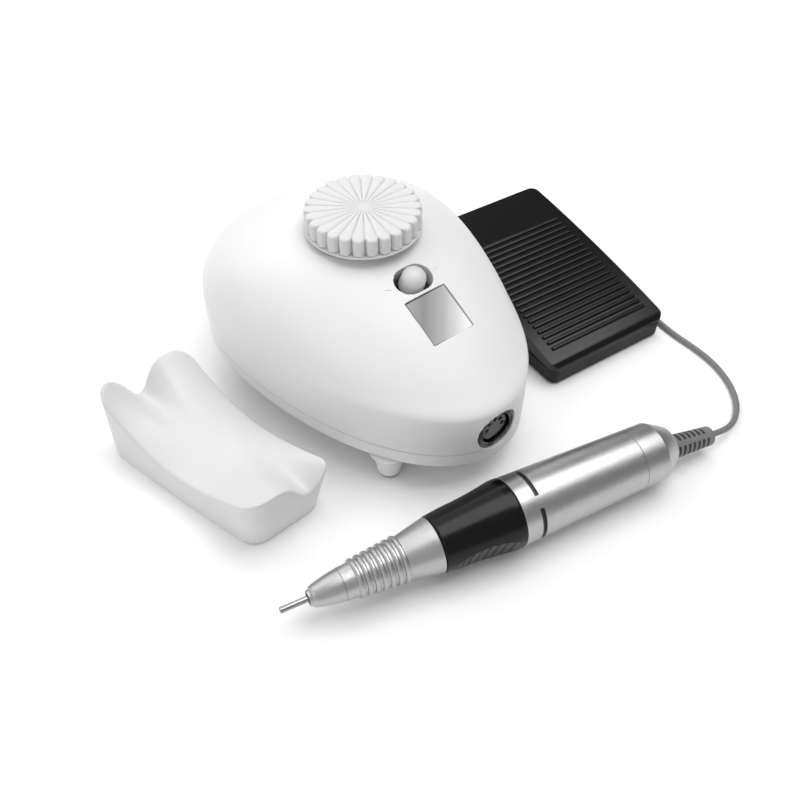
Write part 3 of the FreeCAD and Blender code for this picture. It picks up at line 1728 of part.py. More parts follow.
def switch_pusher():
    """Post under the cover that presses the switch."""
    low = BUTTON_TOP + size("pedal_button_gap")
    arc = top_arc(size("pedal_skin") / 2).toShape().Curve
    y = size("pedal_switch_y")
    roof = arc.Center.z + math.sqrt(arc.Radius**2 - (y - arc.Center.y) ** 2)
    return centred_box(4, 4, roof - low, size("pedal_width / 2"), y, low)


plain_shape("pedal_cover", pedal_cover(), PEDAL_PLACE)

HINGE_PLACE = PEDAL_PLACE * moved(
    size("pedal_inner_inset"),
    size("pedal_hinge_y"),
    size("pedal_hinge_height"),
    turn(vector(0, 1, 0), 90),
)
HINGE_LENGTH = "pedal_width - 2 * pedal_inner_inset"
turned(
    "hinge_pin",
    [
        ("0", "0"),
        ("pedal_pin_radius", "0"),
        ("pedal_pin_radius", HINGE_LENGTH),
        ("0", HINGE_LENGTH),
    ],
    HINGE_PLACE,
)


def return_spring():
    """Torsion spring round the hinge pin, one leg along the floor of the base."""
    radius = size("pedal_spring_radius")
    length = size("pedal_spring_length")
    centre_x = size("pedal_width") / 2
    start = vector(centre_x - length / 2, size("pedal_hinge_y"), size("pedal_hinge_height"))
    axis = vector(1, 0, 0)
    coil = cylinder(radius, length, start, axis)
    floor = size(PEDAL_FLOOR_TOP)
    leg = Part.makeBox(1.2, 16, 1.2, vector(start.x, start.y, floor))
    bore = cylinder(size("pedal_pin_radius + slip_gap"), length, start, axis)
    return fused([coil, leg]).cut(bore)


plain_shape("return_spring", return_spring(), PEDAL_PLACE)


def pedal_switch():
    """Snap-action switch on the floor of the base, open on top for its button."""
    height = size("pedal_switch_height")
    body = centred_box(size("pedal_switch_width"), size("pedal_switch_length"), height)
    well = centred_box(size("pedal_button_width"), size("pedal_button_depth"), height, z=1)
    return body.cut(well)


SWITCH_PLACE = PEDAL_PLACE * moved(
    size("pedal_width / 2"), size("pedal_switch_y"), size(PEDAL_FLOOR_TOP)
)
plain_shape("pedal_switch", pedal_switch(), SWITCH_PLACE)
BUTTON_LOW = BUTTON_TOP - size("pedal_button_length") - size(PEDAL_FLOOR_TOP)
block(
    "switch_button",
    "pedal_button_width - 2 * slip_gap",
    "pedal_button_depth - 2 * slip_gap",
    "pedal_button_length",
    SWITCH_PLACE * moved(0, 0, BUTTON_LOW),
)
turned(
    "pedal_gland",
    [
        ("pedal_gland_bore", "0"),
        ("pedal_gland_radius", "0"),
        ("pedal_gland_radius", "8"),
        ("pedal_gland_radius - 1", "15"),
        ("pedal_gland_bore", "15"),
    ],
    PEDAL_PLACE
    * moved(
        size("pedal_width / 2"),
        size("pedal_length") - 8,
        size("pedal_hinge_height"),
        turn(vector(1, 0, 0), -90),
    ),
)

doc.recompute()
for item in doc.Objects:
    if {"Invalid", "Error"} & set(item.State):
        raise RuntimeError(f"{item.Label} failed: {item.State}")
for node in NODES:
    if node.Shape.isNull() or not node.Shape.isValid():
        raise RuntimeError(f"{node.Label} has no valid shape")

os.makedirs("parts", exist_ok=True)
for node in NODES:
    node.Shape.exportStep(f"parts/{node.Label}.step")
print(f"{len(NODES)} sub-parts written")
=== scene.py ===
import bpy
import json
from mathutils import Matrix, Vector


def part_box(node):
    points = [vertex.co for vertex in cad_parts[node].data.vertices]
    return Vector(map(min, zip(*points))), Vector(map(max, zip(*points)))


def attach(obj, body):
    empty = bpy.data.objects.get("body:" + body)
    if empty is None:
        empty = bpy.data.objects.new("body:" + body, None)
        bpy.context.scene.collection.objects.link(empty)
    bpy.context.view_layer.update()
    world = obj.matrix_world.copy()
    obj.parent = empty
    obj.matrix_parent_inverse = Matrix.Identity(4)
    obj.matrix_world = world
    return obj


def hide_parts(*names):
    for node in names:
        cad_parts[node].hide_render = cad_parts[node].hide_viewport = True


bl_info = {
    "name": "Nail Drill Set",
    "version": (1, 0, 0),
    "blender": (4, 5, 0),
    "location": "View3D > Sidebar > Nail Drill",
    "description": "Builds the looks of a nail drill machine round its packed frame",
    "category": "Object",
}

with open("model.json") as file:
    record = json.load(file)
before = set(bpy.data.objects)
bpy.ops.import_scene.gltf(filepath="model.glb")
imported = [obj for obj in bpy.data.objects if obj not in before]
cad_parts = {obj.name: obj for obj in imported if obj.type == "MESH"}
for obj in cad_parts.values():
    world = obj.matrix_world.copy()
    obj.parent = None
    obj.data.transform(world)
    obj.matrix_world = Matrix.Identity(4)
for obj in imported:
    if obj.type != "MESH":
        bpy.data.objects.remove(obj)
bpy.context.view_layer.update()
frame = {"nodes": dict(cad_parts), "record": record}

import json
import math

import bmesh
import bpy
from bpy.props import FloatProperty, FloatVectorProperty, IntProperty, PointerProperty
from mathutils import Matrix, Vector

MM = 0.001

# Sizes and colours that a user can change


def length(name, value, note):
    """Length property whose default is given in millimetres."""
    return FloatProperty(
        name=name, description=note, default=value * MM, min=0.0, precision=5, unit="LENGTH"
    )


def whole_number(name, value, note, least):
    """Whole number of like features."""
    return IntProperty(name=name, description=note, default=value, min=least, subtype="UNSIGNED")


def colour(name, value, note):
    """Colour of a finish, in linear red, green and blue."""
    return FloatVectorProperty(
        name=name, description=note, default=value, size=3, min=0.0, max=1.0, subtype="COLOR"
    )


def share_of_one(name, value, note):
    """Factor from 0 to 1."""
    return FloatProperty(
        name=name, description=note, default=value, min=0.0, max=1.0, subtype="FACTOR"
    )


def wattage(name, value, note):
    """Power of a lamp, in watts."""
    return FloatProperty(name=name, description=note, default=value, min=0.0, unit="POWER")


class HousingSizes(bpy.types.PropertyGroup):
    """Sizes of the control unit's two mouldings"""

    half_width: length("Half width", 57.9, "From the middle line to the widest flank")
    front_reach: length("Front reach", 113.9, "From the centre of the unit to its nose")
    back_reach: length("Back reach", 48.1, "From the centre of the unit to its back")
    top_height: length("Top height", 77.6, "Height that the dome's curve aims at")
    widest_height: length("Widest height", 39.4, "Height of the widest plan outline")
    seat_height: length("Seat height", 75.6, "Height of the flat seat under the knob")
    part_line: length("Parting line", 21.4, "Height of the seam between housing and tray")
    base_height: length("Base height", 13.8, "Height of the tray's underside")
    wall: length("Wall", 2.5, "Wall thickness of both mouldings")


class KnobSizes(bpy.types.PropertyGroup):
    """Sizes of the speed knob"""

    top_height: length("Top height", 86.6, "Height of the knob's face")
    height: length("Height", 7.6, "Height of the scalloped rim")
    radius: length("Radius", 23.6, "Radius over the lobes")
    lobe_depth: length("Lobe depth", 2.5, "How far the valleys between lobes reach in")
    groove_depth: length("Groove depth", 0.55, "Depth of the fan's grooves")
    lobes: whole_number("Lobes", 26, "Lobes round the rim", 3)


class HandpieceSizes(bpy.types.PropertyGroup):
    """Sizes of the handpiece along and across its axis"""

    axis_height: length("Axis height", 14.1, "Height of the axis over the table")
    nose_length: length("Nose length", 12.8, "Length of the nose cap")
    nose_radius: length("Nose radius", 6.3, "Radius where the nose cap meets the grip")
    grip_length: length("Grip length", 37.2, "Length of the grip cone")
    grip_radius: length("Grip radius", 11.0, "Radius of the grip cone at the collar")
    ridge_rise: length("Ridge rise", 0.85, "Height of the finger ridges")
    ridges: whole_number("Ridges", 7, "Finger ridges on the grip", 1)
    collar_length: length("Collar length", 32.6, "Length of the twist collar")
    collar_front: length("Collar front", 11.2, "Radius of the collar at the grip")
    collar_back: length("Collar back", 14.1, "Radius of the collar at the sleeve")
    sleeve_length: length("Sleeve length", 56.6, "Length of the rear sleeve")
    sleeve_front: length("Sleeve front", 13.95, "Radius of the sleeve at the collar")
    sleeve_back: length("Sleeve back", 12.5, "Radius of the sleeve at the end cap")
    tail_length: length("Tail length", 18.6, "Length of the end cap")
    tail_radius: length("Tail radius", 7.6, "Radius of the end cap's rear face")
    boot_length: length("Boot length", 31.0, "Length of the bend protector")
    boot_radius: length("Boot radius", 5.2, "Radius of the bend protector at the tail")
    boot_end: length("Boot end", 4.1, "Radius of the bend protector at its tip")


class LeadSizes(bpy.types.PropertyGroup):
    """Sizes of the handpiece's lead and its put-away coil"""

    radius: length("Radius", 1.3, "Radius of the lead")
    rest_height: length("Rest height", 1.35, "Height of the lead's middle on the table")
    coil_radius: length("Coil radius", 22.0, "Radius of the coil's outer turn")
    coil_step: length("Coil step", 3.4, "How far each turn lies inside the last")
    coil_rise: length("Coil rise", 3.3, "Height of the upper layer over the lower")
    turn_points: whole_number("Turn points", 16, "Points in each turn of the coil", 12)


class RestSizes(bpy.types.PropertyGroup):
    """Sizes of the handpiece rest"""

    middle_height: length("Middle height", 18.0, "Height of the low waist")
    front_height: length("Front height", 33.5, "Height of the near end")
    back_height: length("Back height", 34.0, "Height of the far end")
    front_reach: length("Front reach", 51.0, "From the middle to the near end's rim")
    back_reach: length("Back reach", 43.5, "From the middle to the far end's rim")
    front_notch: length("Front notch", 19.0, "Depth of the near notch")
    back_notch: length("Back notch", 15.5, "Depth of the far notch")


class PedalSizes(bpy.types.PropertyGroup):
    """Sizes of the foot pedal"""

    width: length("Width", 66.7, "Width of base and cover")
    depth: length("Depth", 100.0, "From the hinge side to the far side")
    corner: length("Corner", 4.0, "Radius of the upright corners")
    near_height: length("Near height", 11.8, "Height of the cover at the hinge")
    far_height: length("Far height", 27.4, "Height of the cover at its far side")
    crown: length("Crown", 1.6, "Rise of the cover's middle over a straight line")
    rib_height: length("Rib height", 0.9, "Height of the cross ribs")
    rib_width: length("Rib width", 2.2, "Width of the cross ribs")
    ribs: whole_number("Ribs", 20, "Cross ribs on the cover", 2)


class FinishSettings(bpy.types.PropertyGroup):
    """Colours and gloss of the finishes"""

    housing_white: colour("Housing white", (0.80, 0.80, 0.80), "Moulded housing and tray")
    knob_white: colour("Knob white", (0.68, 0.68, 0.68), "Speed knob and switch cap")
    rest_white: colour("Rest white", (0.69, 0.69, 0.69), "Handpiece rest")
    aluminium: colour("Aluminium", (0.49, 0.49, 0.495), "Bead blasted sleeves")
    gunmetal: colour("Gunmetal", (0.10, 0.10, 0.105), "Socket ring")
    collar_black: colour("Collar black", (0.003, 0.003, 0.003), "Twist collar")
    pedal_black: colour("Pedal black", (0.004, 0.004, 0.004), "Pedal cover and base")
    lead_grey: colour("Lead grey", (0.19, 0.19, 0.195), "Lead, boot and plug grip")
    housing_gloss: share_of_one("Housing roughness", 0.42, "Roughness of the moulded housing")
    rest_gloss: share_of_one("Rest roughness", 0.36, "Roughness of the rest")
    metal_gloss: share_of_one("Metal roughness", 0.36, "Roughness of the bead blasted metal")


class StageSettings(bpy.types.PropertyGroup):
    """Floor, lights and camera"""

    floor_size: length("Floor size", 6000.0, "Side of the square floor")
    floor_colour: colour("Floor colour", (0.99, 0.99, 0.99), "Colour of the floor")
    sky: share_of_one("Sky", 0.44, "Strength of the even light all round")
    top: wattage("Top light", 9.0, "Power of the light overhead")
    key: wattage("Key light", 4.8, "Power of the light behind")
    edge: wattage("Edge light", 1.6, "Power of the low light behind")
    fill: wattage("Fill light", 1.2, "Power of the light at left")
    focal_share: FloatProperty(
        name="Focal share",
        description="Focal length in widths of the picture",
        default=928.25 / 800,
        min=0.1,
    )


GROUPS = {
    "drill_housing": HousingSizes,
    "drill_knob": KnobSizes,
    "drill_handpiece": HandpieceSizes,
    "drill_lead": LeadSizes,
    "drill_rest": RestSizes,
    "drill_pedal": PedalSizes,
    "drill_finish": FinishSettings,
    "drill_stage": StageSettings,
}


class Sizes:
    """Sizes of one group, its lengths in millimetres."""

    def __init__(self, context, group):
        values = getattr(context.scene, group)
        for name, kind in values.bl_rna.properties.items():
            if name in type(values).__annotations__:
                scale = 1 / MM if kind.unit == "LENGTH" else 1
                setattr(self, name, getattr(values, name) * scale)


# Places of the pieces: each matrix leads from a piece's own millimetres to the table, in metres

SET_MIDDLE = Vector((7.6, -54.0, 0.0))
UPRIGHT = Matrix.Identity(4)


def at(x, y, z=0.0):
    """Place on the table, upright."""
    return Matrix.Scale(MM, 4) @ Matrix.Translation(Vector((x, y, z)) - SET_MIDDLE)


def turned_by(degrees, axis):
    """Turn about an axis through the middle."""
    return Matrix.Rotation(math.radians(degrees), 4, axis)


def shifted(x, y, z):
    """Shift without a turn."""
    return Matrix.Translation((x, y, z))


UNIT = at(0, 0)
SEAM_GAP = 0.4

KNOB_SPOT = (0, -28.0)
KNOB = at(*KNOB_SPOT)
BUSH_BORE = 3.75
STEPS_PER_LOBE = 14

TOGGLE = shifted(0, -60.2, 70.5) @ turned_by(19.7, "X")
SWITCH_SLOT = (16.8, 12.3)
SWITCH_WELL_WALL = 1.5
SWITCH_MARKS = ((-11.9, -59.6, -31), (11.0, -60.2, 22))

DISPLAY = shifted(0, -76.4, 63.3) @ turned_by(25.1, "X")
DISPLAY_HOLE = (19.9, 20.5)
DISPLAY_LENS = (19.6, 20.2)
DISPLAY_LEDGE = 24.5

DENT_SPOTS = ((-26.5, 11.1), (-17.6, 9.2), (-8.6, 6.2))
DENT_RADIUS = 1.3
DENT_CENTRE = 0.9

SOCKET_SPOT = (0, -112.5, 28.8)
SOCKET_BORE = 9.55
SOCKET_BORE_DEPTH = 17.15
SOCKET = at(*SOCKET_SPOT) @ turned_by(90, "X")

REAR_HEIGHT = 30.0
REAR_PITCH = 19.0
REAR_BORES = {-1: 5.15, 0: 4.95, 1: 3.15}

POSTS = [(side * x, y) for x, y in ((30.0, -62.0), (40.0, 8.0)) for side in (-1, 1)]
POST_RADIUS = 4.2
POST_TOP = 24.5
RECESS_RADIUS = 2.9
SCREW_TOP = 18.75
FEET = [(side * x, y) for x, y in ((31.3, -84.0), (33.0, 22.0)) for side in (-1, 1)]

HANDPIECE_YAW = math.radians(-11.35)
HANDPIECE_TIP = (-96.9, -121.7)
BOOT_DROP = 1.6
BOOT_SUNK = 7.0
BOOT_SEAT = 5.35
BOOT_TILT = turned_by(-9, "Y")
HANDPIECE_AXES = Matrix(
    (
        (0, math.sin(HANDPIECE_YAW), math.cos(HANDPIECE_YAW), 0),
        (0, -math.cos(HANDPIECE_YAW), math.sin(HANDPIECE_YAW), 0),
        (1, 0, 0, 0),
        (0, 0, 0, 1),
    )
)

REST = at(-86.8, -41.5) @ turned_by(10, "Z")

PEDAL = at(55.7, -91.7) @ turned_by(-5.2, "Z")
GLAND_HEIGHT = 5.6
GLAND_BORE = 2.85
FIRST_RIB = 9.0
LAST_RIB = 74.0

PLUG_START = (28.0, 72.5, 7.5)
PLUG = at(*PLUG_START) @ turned_by(-90, "Y")


def handpiece_place(context):
    """Tip of the nose, with Z running back along the handpiece."""
    height = Sizes(context, "drill_handpiece").axis_height
    return at(*HANDPIECE_TIP, height) @ HANDPIECE_AXES


def boot_place(context):
    """The boot leaves the tail a little below the axis and drops towards the table."""
    tail = handpiece_stations(context)["tail_end"]
    return handpiece_place(context) @ shifted(-BOOT_DROP, 0, tail - BOOT_SUNK) @ BOOT_TILT


def handpiece_stations(context):
    """Distances from the nose's tip at which one piece of the handpiece ends and the next begins."""
    sizes = Sizes(context, "drill_handpiece")
    grip_end = sizes.nose_length + sizes.grip_length
    collar_end = grip_end + sizes.collar_length
    sleeve_end = collar_end + sizes.sleeve_length
    return {
        "grip_end": grip_end,
        "collar_end": collar_end,
        "sleeve_end": sleeve_end,
        "tail_end": sleeve_end + sizes.tail_length,
    }


# Shaping


def turned(profile, steps, closed=False, sweep=360.0):
    """Surface turned about Z from (radius, height) corners."""
    bm = bmesh.new()
    verts = [bm.verts.new((radius, 0.0, height)) for radius, height in profile]
    pairs = list(zip(verts, verts[1:]))
    if closed:
        pairs.append((verts[-1], verts[0]))
    edges = [bm.edges.new(pair) for pair in pairs]
    bmesh.ops.spin(
        bm,
        geom=verts + edges,
        axis=(0, 0, 1),
        cent=(0, 0, 0),
        angle=math.radians(sweep),
        steps=steps,
        use_merge=sweep == 360.0,
    )
    bmesh.ops.remove_doubles(bm, verts=bm.verts, dist=0.0005)
    bmesh.ops.recalc_face_normals(bm, faces=bm.faces)
    return bm


def rod(radius, low, high, steps):
    """Solid round rod on Z."""
    return turned([(0, low), (radius, low), (radius, high), (0, high)], steps)


def arc_slot(inner, outer, low, width, start, sweep):
    """Solid arc about Z: a rectangle turned through part of a circle, closed at both ends."""
    profile = [(inner, low), (outer, low), (outer, low + width), (inner, low + width)]
    bm = turned(profile, max(3, round(sweep / 7)), closed=True, sweep=sweep)
    rims = [edge for edge in bm.edges if edge.is_boundary]
    bmesh.ops.holes_fill(bm, edges=rims, sides=4)
    bmesh.ops.rotate(bm, cent=(0, 0, 0), matrix=turned_by(start, "Z").to_3x3(), verts=bm.verts)
    bmesh.ops.recalc_face_normals(bm, faces=bm.faces)
    return bm


def slab(width, depth, low, high, corner=0.0, steps=5):
    """Upright block centred on Z, its upright edges rounded."""
    bm = bmesh.new()
    bmesh.ops.create_cube(bm, size=1.0)
    bmesh.ops.scale(bm, vec=(width, depth, high - low), verts=bm.verts)
    bmesh.ops.translate(bm, vec=(0, 0, (low + high) / 2), verts=bm.verts)
    if corner:
        upright = [edge for edge in bm.edges if abs(edge.verts[0].co.z - edge.verts[1].co.z) > 0.01]
        round_off(bm, upright, corner, steps)
    return bm


def stadium(long_way, short_way, low, high, steps=40):
    """Upright block with round ends along X."""
    bm = bmesh.new()
    radius = short_way / 2
    bmesh.ops.create_cone(
        bm, cap_ends=True, segments=steps, radius1=radius, radius2=radius, depth=high - low
    )
    bmesh.ops.rotate(bm, cent=(0, 0, 0), matrix=turned_by(180 / steps, "Z").to_3x3(), verts=bm.verts)
    for vert in bm.verts:
        vert.co.x += math.copysign((long_way - short_way) / 2, vert.co.x)
        vert.co.z += (low + high) / 2
    return bm


def round_off(bm, edges, width, steps=3, clamp=True):
    """Round over the given edges."""
    bmesh.ops.bevel(
        bm,
        geom=edges,
        offset=width,
        offset_type="OFFSET",
        segments=steps,
        profile=0.5,
        affect="EDGES",
        material=-1,
        clamp_overlap=clamp,
    )


def sharp_edges(bm, least=35.0, where=None):
    """Edges whose faces turn by more than least degrees, and whose middle passes a test."""
    found = []
    for edge in bm.edges:
        if len(edge.link_faces) == 2 and edge.calc_face_angle(0.0) > math.radians(least):
            middle = (edge.verts[0].co + edge.verts[1].co) / 2
            if where is None or where(middle):
                found.append(edge)
    return found


def put(bm, matrix):
    """Move a bmesh to its place."""
    bmesh.ops.transform(bm, matrix=matrix, verts=bm.verts)
    return bm


def gathered(parts):
    """One bmesh that holds several, which are used up."""
    whole = bmesh.new()
    for part in parts:
        mesh = bpy.data.meshes.new("part")
        part.to_mesh(mesh)
        part.free()
        whole.from_mesh(mesh)
        bpy.data.meshes.remove(mesh)
    return whole


def scratch_object(bm):
    """Object that holds a bmesh for a boolean, and uses it up."""
    mesh = bpy.data.meshes.new("scratch")
    bm.to_mesh(mesh)
    bm.free()
    made = bpy.data.objects.new("scratch", mesh)
    bpy.context.scene.collection.objects.link(made)
    return made


def carved(solid, tool, operation="DIFFERENCE"):
    """Exact boolean of two closed solids, which are used up."""
    body = scratch_object(solid)
    cutter = scratch_object(tool)
    modifier = body.modifiers.new("carve", "BOOLEAN")
    modifier.operation = operation
    modifier.solver = "EXACT"
    modifier.object = cutter
    result = bmesh.new()
    result.from_object(body, bpy.context.evaluated_depsgraph_get())
    for scratch in (body, cutter):
        mesh = scratch.data
        bpy.data.objects.remove(scratch)
        bpy.data.meshes.remove(mesh)
    bmesh.ops.remove_doubles(result, verts=result.verts, dist=0.002)
    return result


def smooth_step(value):
    """Ease from 0 to 1."""
    value = min(1.0, max(0.0, value))
    return value * value * (3 - 2 * value)


def piece(name, bm, matrix, body, slot, replaces=(), sharp=38.0, weighted=True):
    """Finish a mesh: closed seams, outward faces, its place in the mesh, its finish and its body."""
    bmesh.ops.remove_doubles(bm, verts=bm.verts, dist=0.001)
    bmesh.ops.recalc_face_normals(bm, faces=bm.faces)
    put(bm, matrix)
    mesh = bpy.data.meshes.new(name)
    bm.to_mesh(mesh)
    bm.free()
    mesh.shade_smooth()
    mesh.set_sharp_from_angle(angle=math.radians(sharp))
    made = bpy.data.objects.new(name, mesh)
    bpy.context.scene.collection.objects.link(made)
    if weighted:
        normals = made.modifiers.new("weighted normals", "WEIGHTED_NORMAL")
        normals.keep_sharp = True
    mesh.materials.append(finish(slot))
    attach(made, body)
    if replaces:
        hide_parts(*replaces)
    return made


# Finishes


class Finish:
    """Material under construction, with its Principled shader and Object coordinates."""

    def __init__(self, name, base, roughness, metallic=0.0):
        self.material = bpy.data.materials.new(name)
        self.material.use_nodes = True
        self.material.diffuse_color = (*base, 1.0)
        self.nodes = self.material.node_tree.nodes
        self.shader = self.nodes["Principled BSDF"]
        self.set("Base Color", (*base, 1.0))
        self.set("Roughness", roughness)
        self.set("Metallic", metallic)
        self.base = base
        self.roughness = roughness
        self.coordinates = self.nodes.new("ShaderNodeTexCoord").outputs["Object"]
        self.height = None

    def set(self, socket, value):
        """Constant on the shader's own socket."""
        self.shader.inputs[socket].default_value = value

    def link(self, source, target):
        """Join an output to an input."""
        self.material.node_tree.links.new(source, target)

    def mapped(self, stretch, turn, middle):
        """Object coordinates about a middle, turned and stretched."""
        node = self.nodes.new("ShaderNodeMapping")
        node.vector_type = "TEXTURE"
        node.inputs["Location"].default_value = middle
        node.inputs["Rotation"].default_value = turn
        node.inputs["Scale"].default_value = stretch
        self.link(self.coordinates, node.inputs["Vector"])
        return node.outputs["Vector"]

    def noise(self, spot, detail=2.0):
        """Noise whose spots are so many millimetres across."""
        node = self.texture("ShaderNodeTexNoise", 1 / (spot * MM))
        node.inputs["Detail"].default_value = detail
        return node.outputs["Fac"]

    def texture(self, kind, scale):
        """Texture node laid out on Object coordinates."""
        node = self.nodes.new(kind)
        node.inputs["Scale"].default_value = scale
        self.link(self.coordinates, node.inputs["Vector"])
        return node

    def ranged(self, source, low, high, start=0.3, end=0.7):
        """Value stretched from one range to another."""
        node = self.nodes.new("ShaderNodeMapRange")
        node.inputs["From Min"].default_value = start
        node.inputs["From Max"].default_value = end
        node.inputs["To Min"].default_value = low
        node.inputs["To Max"].default_value = high
        self.link(source, node.inputs["Value"])
        return node.outputs["Result"]

    def vary_gloss(self, source, spread):
        """Roughness that wanders round its middle value."""
        low = max(0.02, self.roughness - spread)
        self.link(self.ranged(source, low, self.roughness + spread), self.shader.inputs["Roughness"])

    def vary_colour(self, source, dark, start=0.3, end=0.7):
        """Base colour that dips to a share of itself."""
        ramp = self.nodes.new("ShaderNodeValToRGB")
        ramp.color_ramp.elements[0].position = start
        ramp.color_ramp.elements[0].color = (*(channel * dark for channel in self.base), 1.0)
        ramp.color_ramp.elements[1].position = end
        ramp.color_ramp.elements[1].color = (*self.base, 1.0)
        self.link(source, ramp.inputs["Fac"])
        self.link(ramp.outputs["Color"], self.shader.inputs["Base Color"])

    def emboss(self, source, depth, strength=1.0):
        """Bump of so many millimetres, on top of any made before."""
        node = self.nodes.new("ShaderNodeBump")
        node.inputs["Strength"].default_value = strength
        node.inputs["Distance"].default_value = depth * MM
        self.link(source, node.inputs["Height"])
        if self.height is not None:
            self.link(self.height, node.inputs["Normal"])
        self.height = node.outputs["Normal"]
        self.link(self.height, self.shader.inputs["Normal"])


def settings():
    """Colours and gloss that the user has set."""
    return bpy.context.scene.drill_finish


def moulded(name, base, roughness, grain=0.35, depth=0.004, spread=0.05):
    """Moulded plastic: spark-eroded grain, and gloss that wanders from patch to patch."""
    made = Finish(name, base, roughness)
    made.vary_gloss(made.noise(14.0, 3.0), spread)
    made.vary_colour(made.noise(22.0, 3.0), 0.985)
    made.emboss(made.noise(grain, 3.0), depth)
    return made


def white_housing():
    """Satin white of the housing and tray."""
    made = moulded("satin_white_housing", settings().housing_white, settings().housing_gloss)
    made.set("Specular IOR Level", 0.42)
    return made


def white_knob():
    """White of the knob and the switch cap, a little smoother than the housing."""
    return moulded("smooth_white_knob", settings().knob_white, 0.36, 0.3, 0.003)


def white_rest():
    """Soft gloss of the rest, with the faint ripple of a thick moulding."""
    return moulded("gloss_white_rest", settings().rest_white, settings().rest_gloss)


def grey_rubber_foot():
    """Pads under the tray and the pedal."""
    return moulded("matt_grey_rubber", (0.33, 0.33, 0.33), 0.78, 0.5, 0.02, 0.08)


def smoked_window():
    """Polished smoke grey window whose base colour carries a painted reflection, running from dark grey to
    pale grey across it.
    """
    made = Finish("display_window_painted_reflection", (0.62, 0.62, 0.63), 0.13)
    turn = (0, 0, math.atan2(-0.62, 0.78))
    low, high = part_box("display_window")
    width = 30.0 * MM
    source = made.mapped((width, width, width), turn, (low + high) / 2)
    # Painted reflection: the colour ramp below puts a lamp's mirror image into the base colour, dark smoke
    # grey at one side and pale grey at the other.
    split = made.nodes.new("ShaderNodeSeparateXYZ")
    made.link(source, split.inputs["Vector"])
    shade = made.ranged(split.outputs["X"], 0.0, 1.0, -0.5, 0.5)
    ramp = made.nodes.new("ShaderNodeValToRGB")
    painted_reflection_stops = ramp.color_ramp.elements
    painted_reflection_stops[0].position = 0.0
    painted_reflection_stops[0].color = (0.30, 0.30, 0.30, 1.0)
    painted_reflection_stops[1].position = 0.86
    painted_reflection_stops[1].color = (0.74, 0.74, 0.74, 1.0)
    painted_reflection_stops.new(0.3).color = (0.13, 0.13, 0.135, 1.0)
    painted_reflection_stops.new(0.56).color = (0.32, 0.32, 0.32, 1.0)
    made.link(shade, ramp.inputs["Fac"])
    made.link(ramp.outputs["Color"], made.shader.inputs["Base Color"])
    made.vary_gloss(made.noise(6.0, 2.0), 0.03)
    made.emboss(made.noise(5.0, 1.0), 0.004, 0.5)
    made.set("Coat Weight", 0.2)
    made.set("Coat Roughness", 0.05)
    return made


def display_block():
    """Module behind the window."""
    return moulded("matt_display_block", (0.012, 0.012, 0.014), 0.6)


def black_plastic():
    """Switch body, fuse cap, plug grip and the bands in the sleeve's slots."""
    return moulded("matt_black_plastic", (0.014, 0.014, 0.014), 0.45, 0.3, 0.005)


def machined(name, base, roughness, pitch):
    """Turned or ground metal: fine tool marks, and gloss that follows them."""
    made = Finish(name, base, roughness, 1.0)
    marks = made.noise(pitch, 2.0)
    made.vary_gloss(marks, 0.08)
    made.vary_colour(made.noise(6.0, 2.0), 0.93)
    made.emboss(marks, 0.004)
    return made


def steel():
    """Ground shank and screws."""
    return machined("ground_steel", (0.36, 0.36, 0.365), 0.22, 0.25)


def gunmetal():
    """Dark plated ring of the socket."""
    made = machined("dark_plated_ring", settings().gunmetal, 0.3, 0.3)
    made.set("Coat Weight", 0.3)
    made.set("Coat Roughness", 0.15)
    return made


def nickel():
    """Jack, plug shell and pins."""
    return machined("plated_nickel", (0.68, 0.66, 0.62), 0.16, 0.4)


def dark_steel():
    """Spindle, collet, rotor and hinge pin."""
    return machined("oiled_dark_steel", (0.28, 0.28, 0.285), 0.3, 0.3)


def circuit_board():
    """Green lacquer over copper tracks."""
    made = Finish("green_circuit_board", (0.02, 0.13, 0.05), 0.35)
    tracks = made.texture("ShaderNodeTexBrick", 160.0)
    tracks.inputs["Mortar Size"].default_value = 0.03
    made.vary_colour(tracks.outputs["Fac"], 0.6, 0.0, 1.0)
    made.vary_gloss(made.noise(5.0), 0.08)
    made.emboss(tracks.outputs["Fac"], 0.03)
    return made


def components():
    """Capacitors, heat sink and connector strip."""
    return machined("aluminium_components", (0.5, 0.5, 0.52), 0.35, 0.6)


def laminations():
    """Stack of thin core sheets."""
    made = Finish("stacked_core_sheets", (0.2, 0.2, 0.21), 0.5, 1.0)
    sheets = made.texture("ShaderNodeTexWave", 320.0)
    sheets.bands_direction = "Y"
    made.vary_colour(sheets.outputs["Fac"], 0.6)
    made.vary_gloss(made.noise(3.0), 0.1)
    made.emboss(sheets.outputs["Fac"], 0.05)
    return made


def winding():
    """Yellow tape wrapped round the coil."""
    made = Finish("taped_winding", (0.55, 0.38, 0.05), 0.4)
    wraps = made.texture("ShaderNodeTexWave", 60.0)
    wraps.bands_direction = "Z"
    wraps.inputs["Distortion"].default_value = 0.6
    made.vary_colour(wraps.outputs["Fac"], 0.8)
    made.vary_gloss(made.noise(4.0), 0.08)
    made.emboss(wraps.outputs["Fac"], 0.06)
    return made


def satin_aluminium():
    """Bead blasted aluminium: tiny dents, and cloudy gloss."""
    made = Finish("bead_blasted_aluminium", settings().aluminium, settings().metal_gloss, 1.0)
    made.vary_gloss(made.noise(3.0, 4.0), 0.045)
    made.vary_colour(made.noise(1.1, 4.0), 0.93)
    dents = made.texture("ShaderNodeTexVoronoi", 2600.0)
    made.emboss(dents.outputs["Distance"], 0.035, 0.5)
    made.emboss(made.noise(0.8, 3.0), 0.006)
    return made


def black_collar():
    """Satin gloss black of the twist collar, with light scuffs from fingers."""
    made = Finish("gloss_black_collar", settings().collar_black, 0.22)
    made.vary_gloss(made.noise(4.0, 4.0), 0.04)
    made.vary_colour(made.noise(1.5, 4.0), 0.8)
    made.emboss(made.noise(0.5, 3.0), 0.0015)
    made.set("Specular IOR Level", 0.25)
    return made


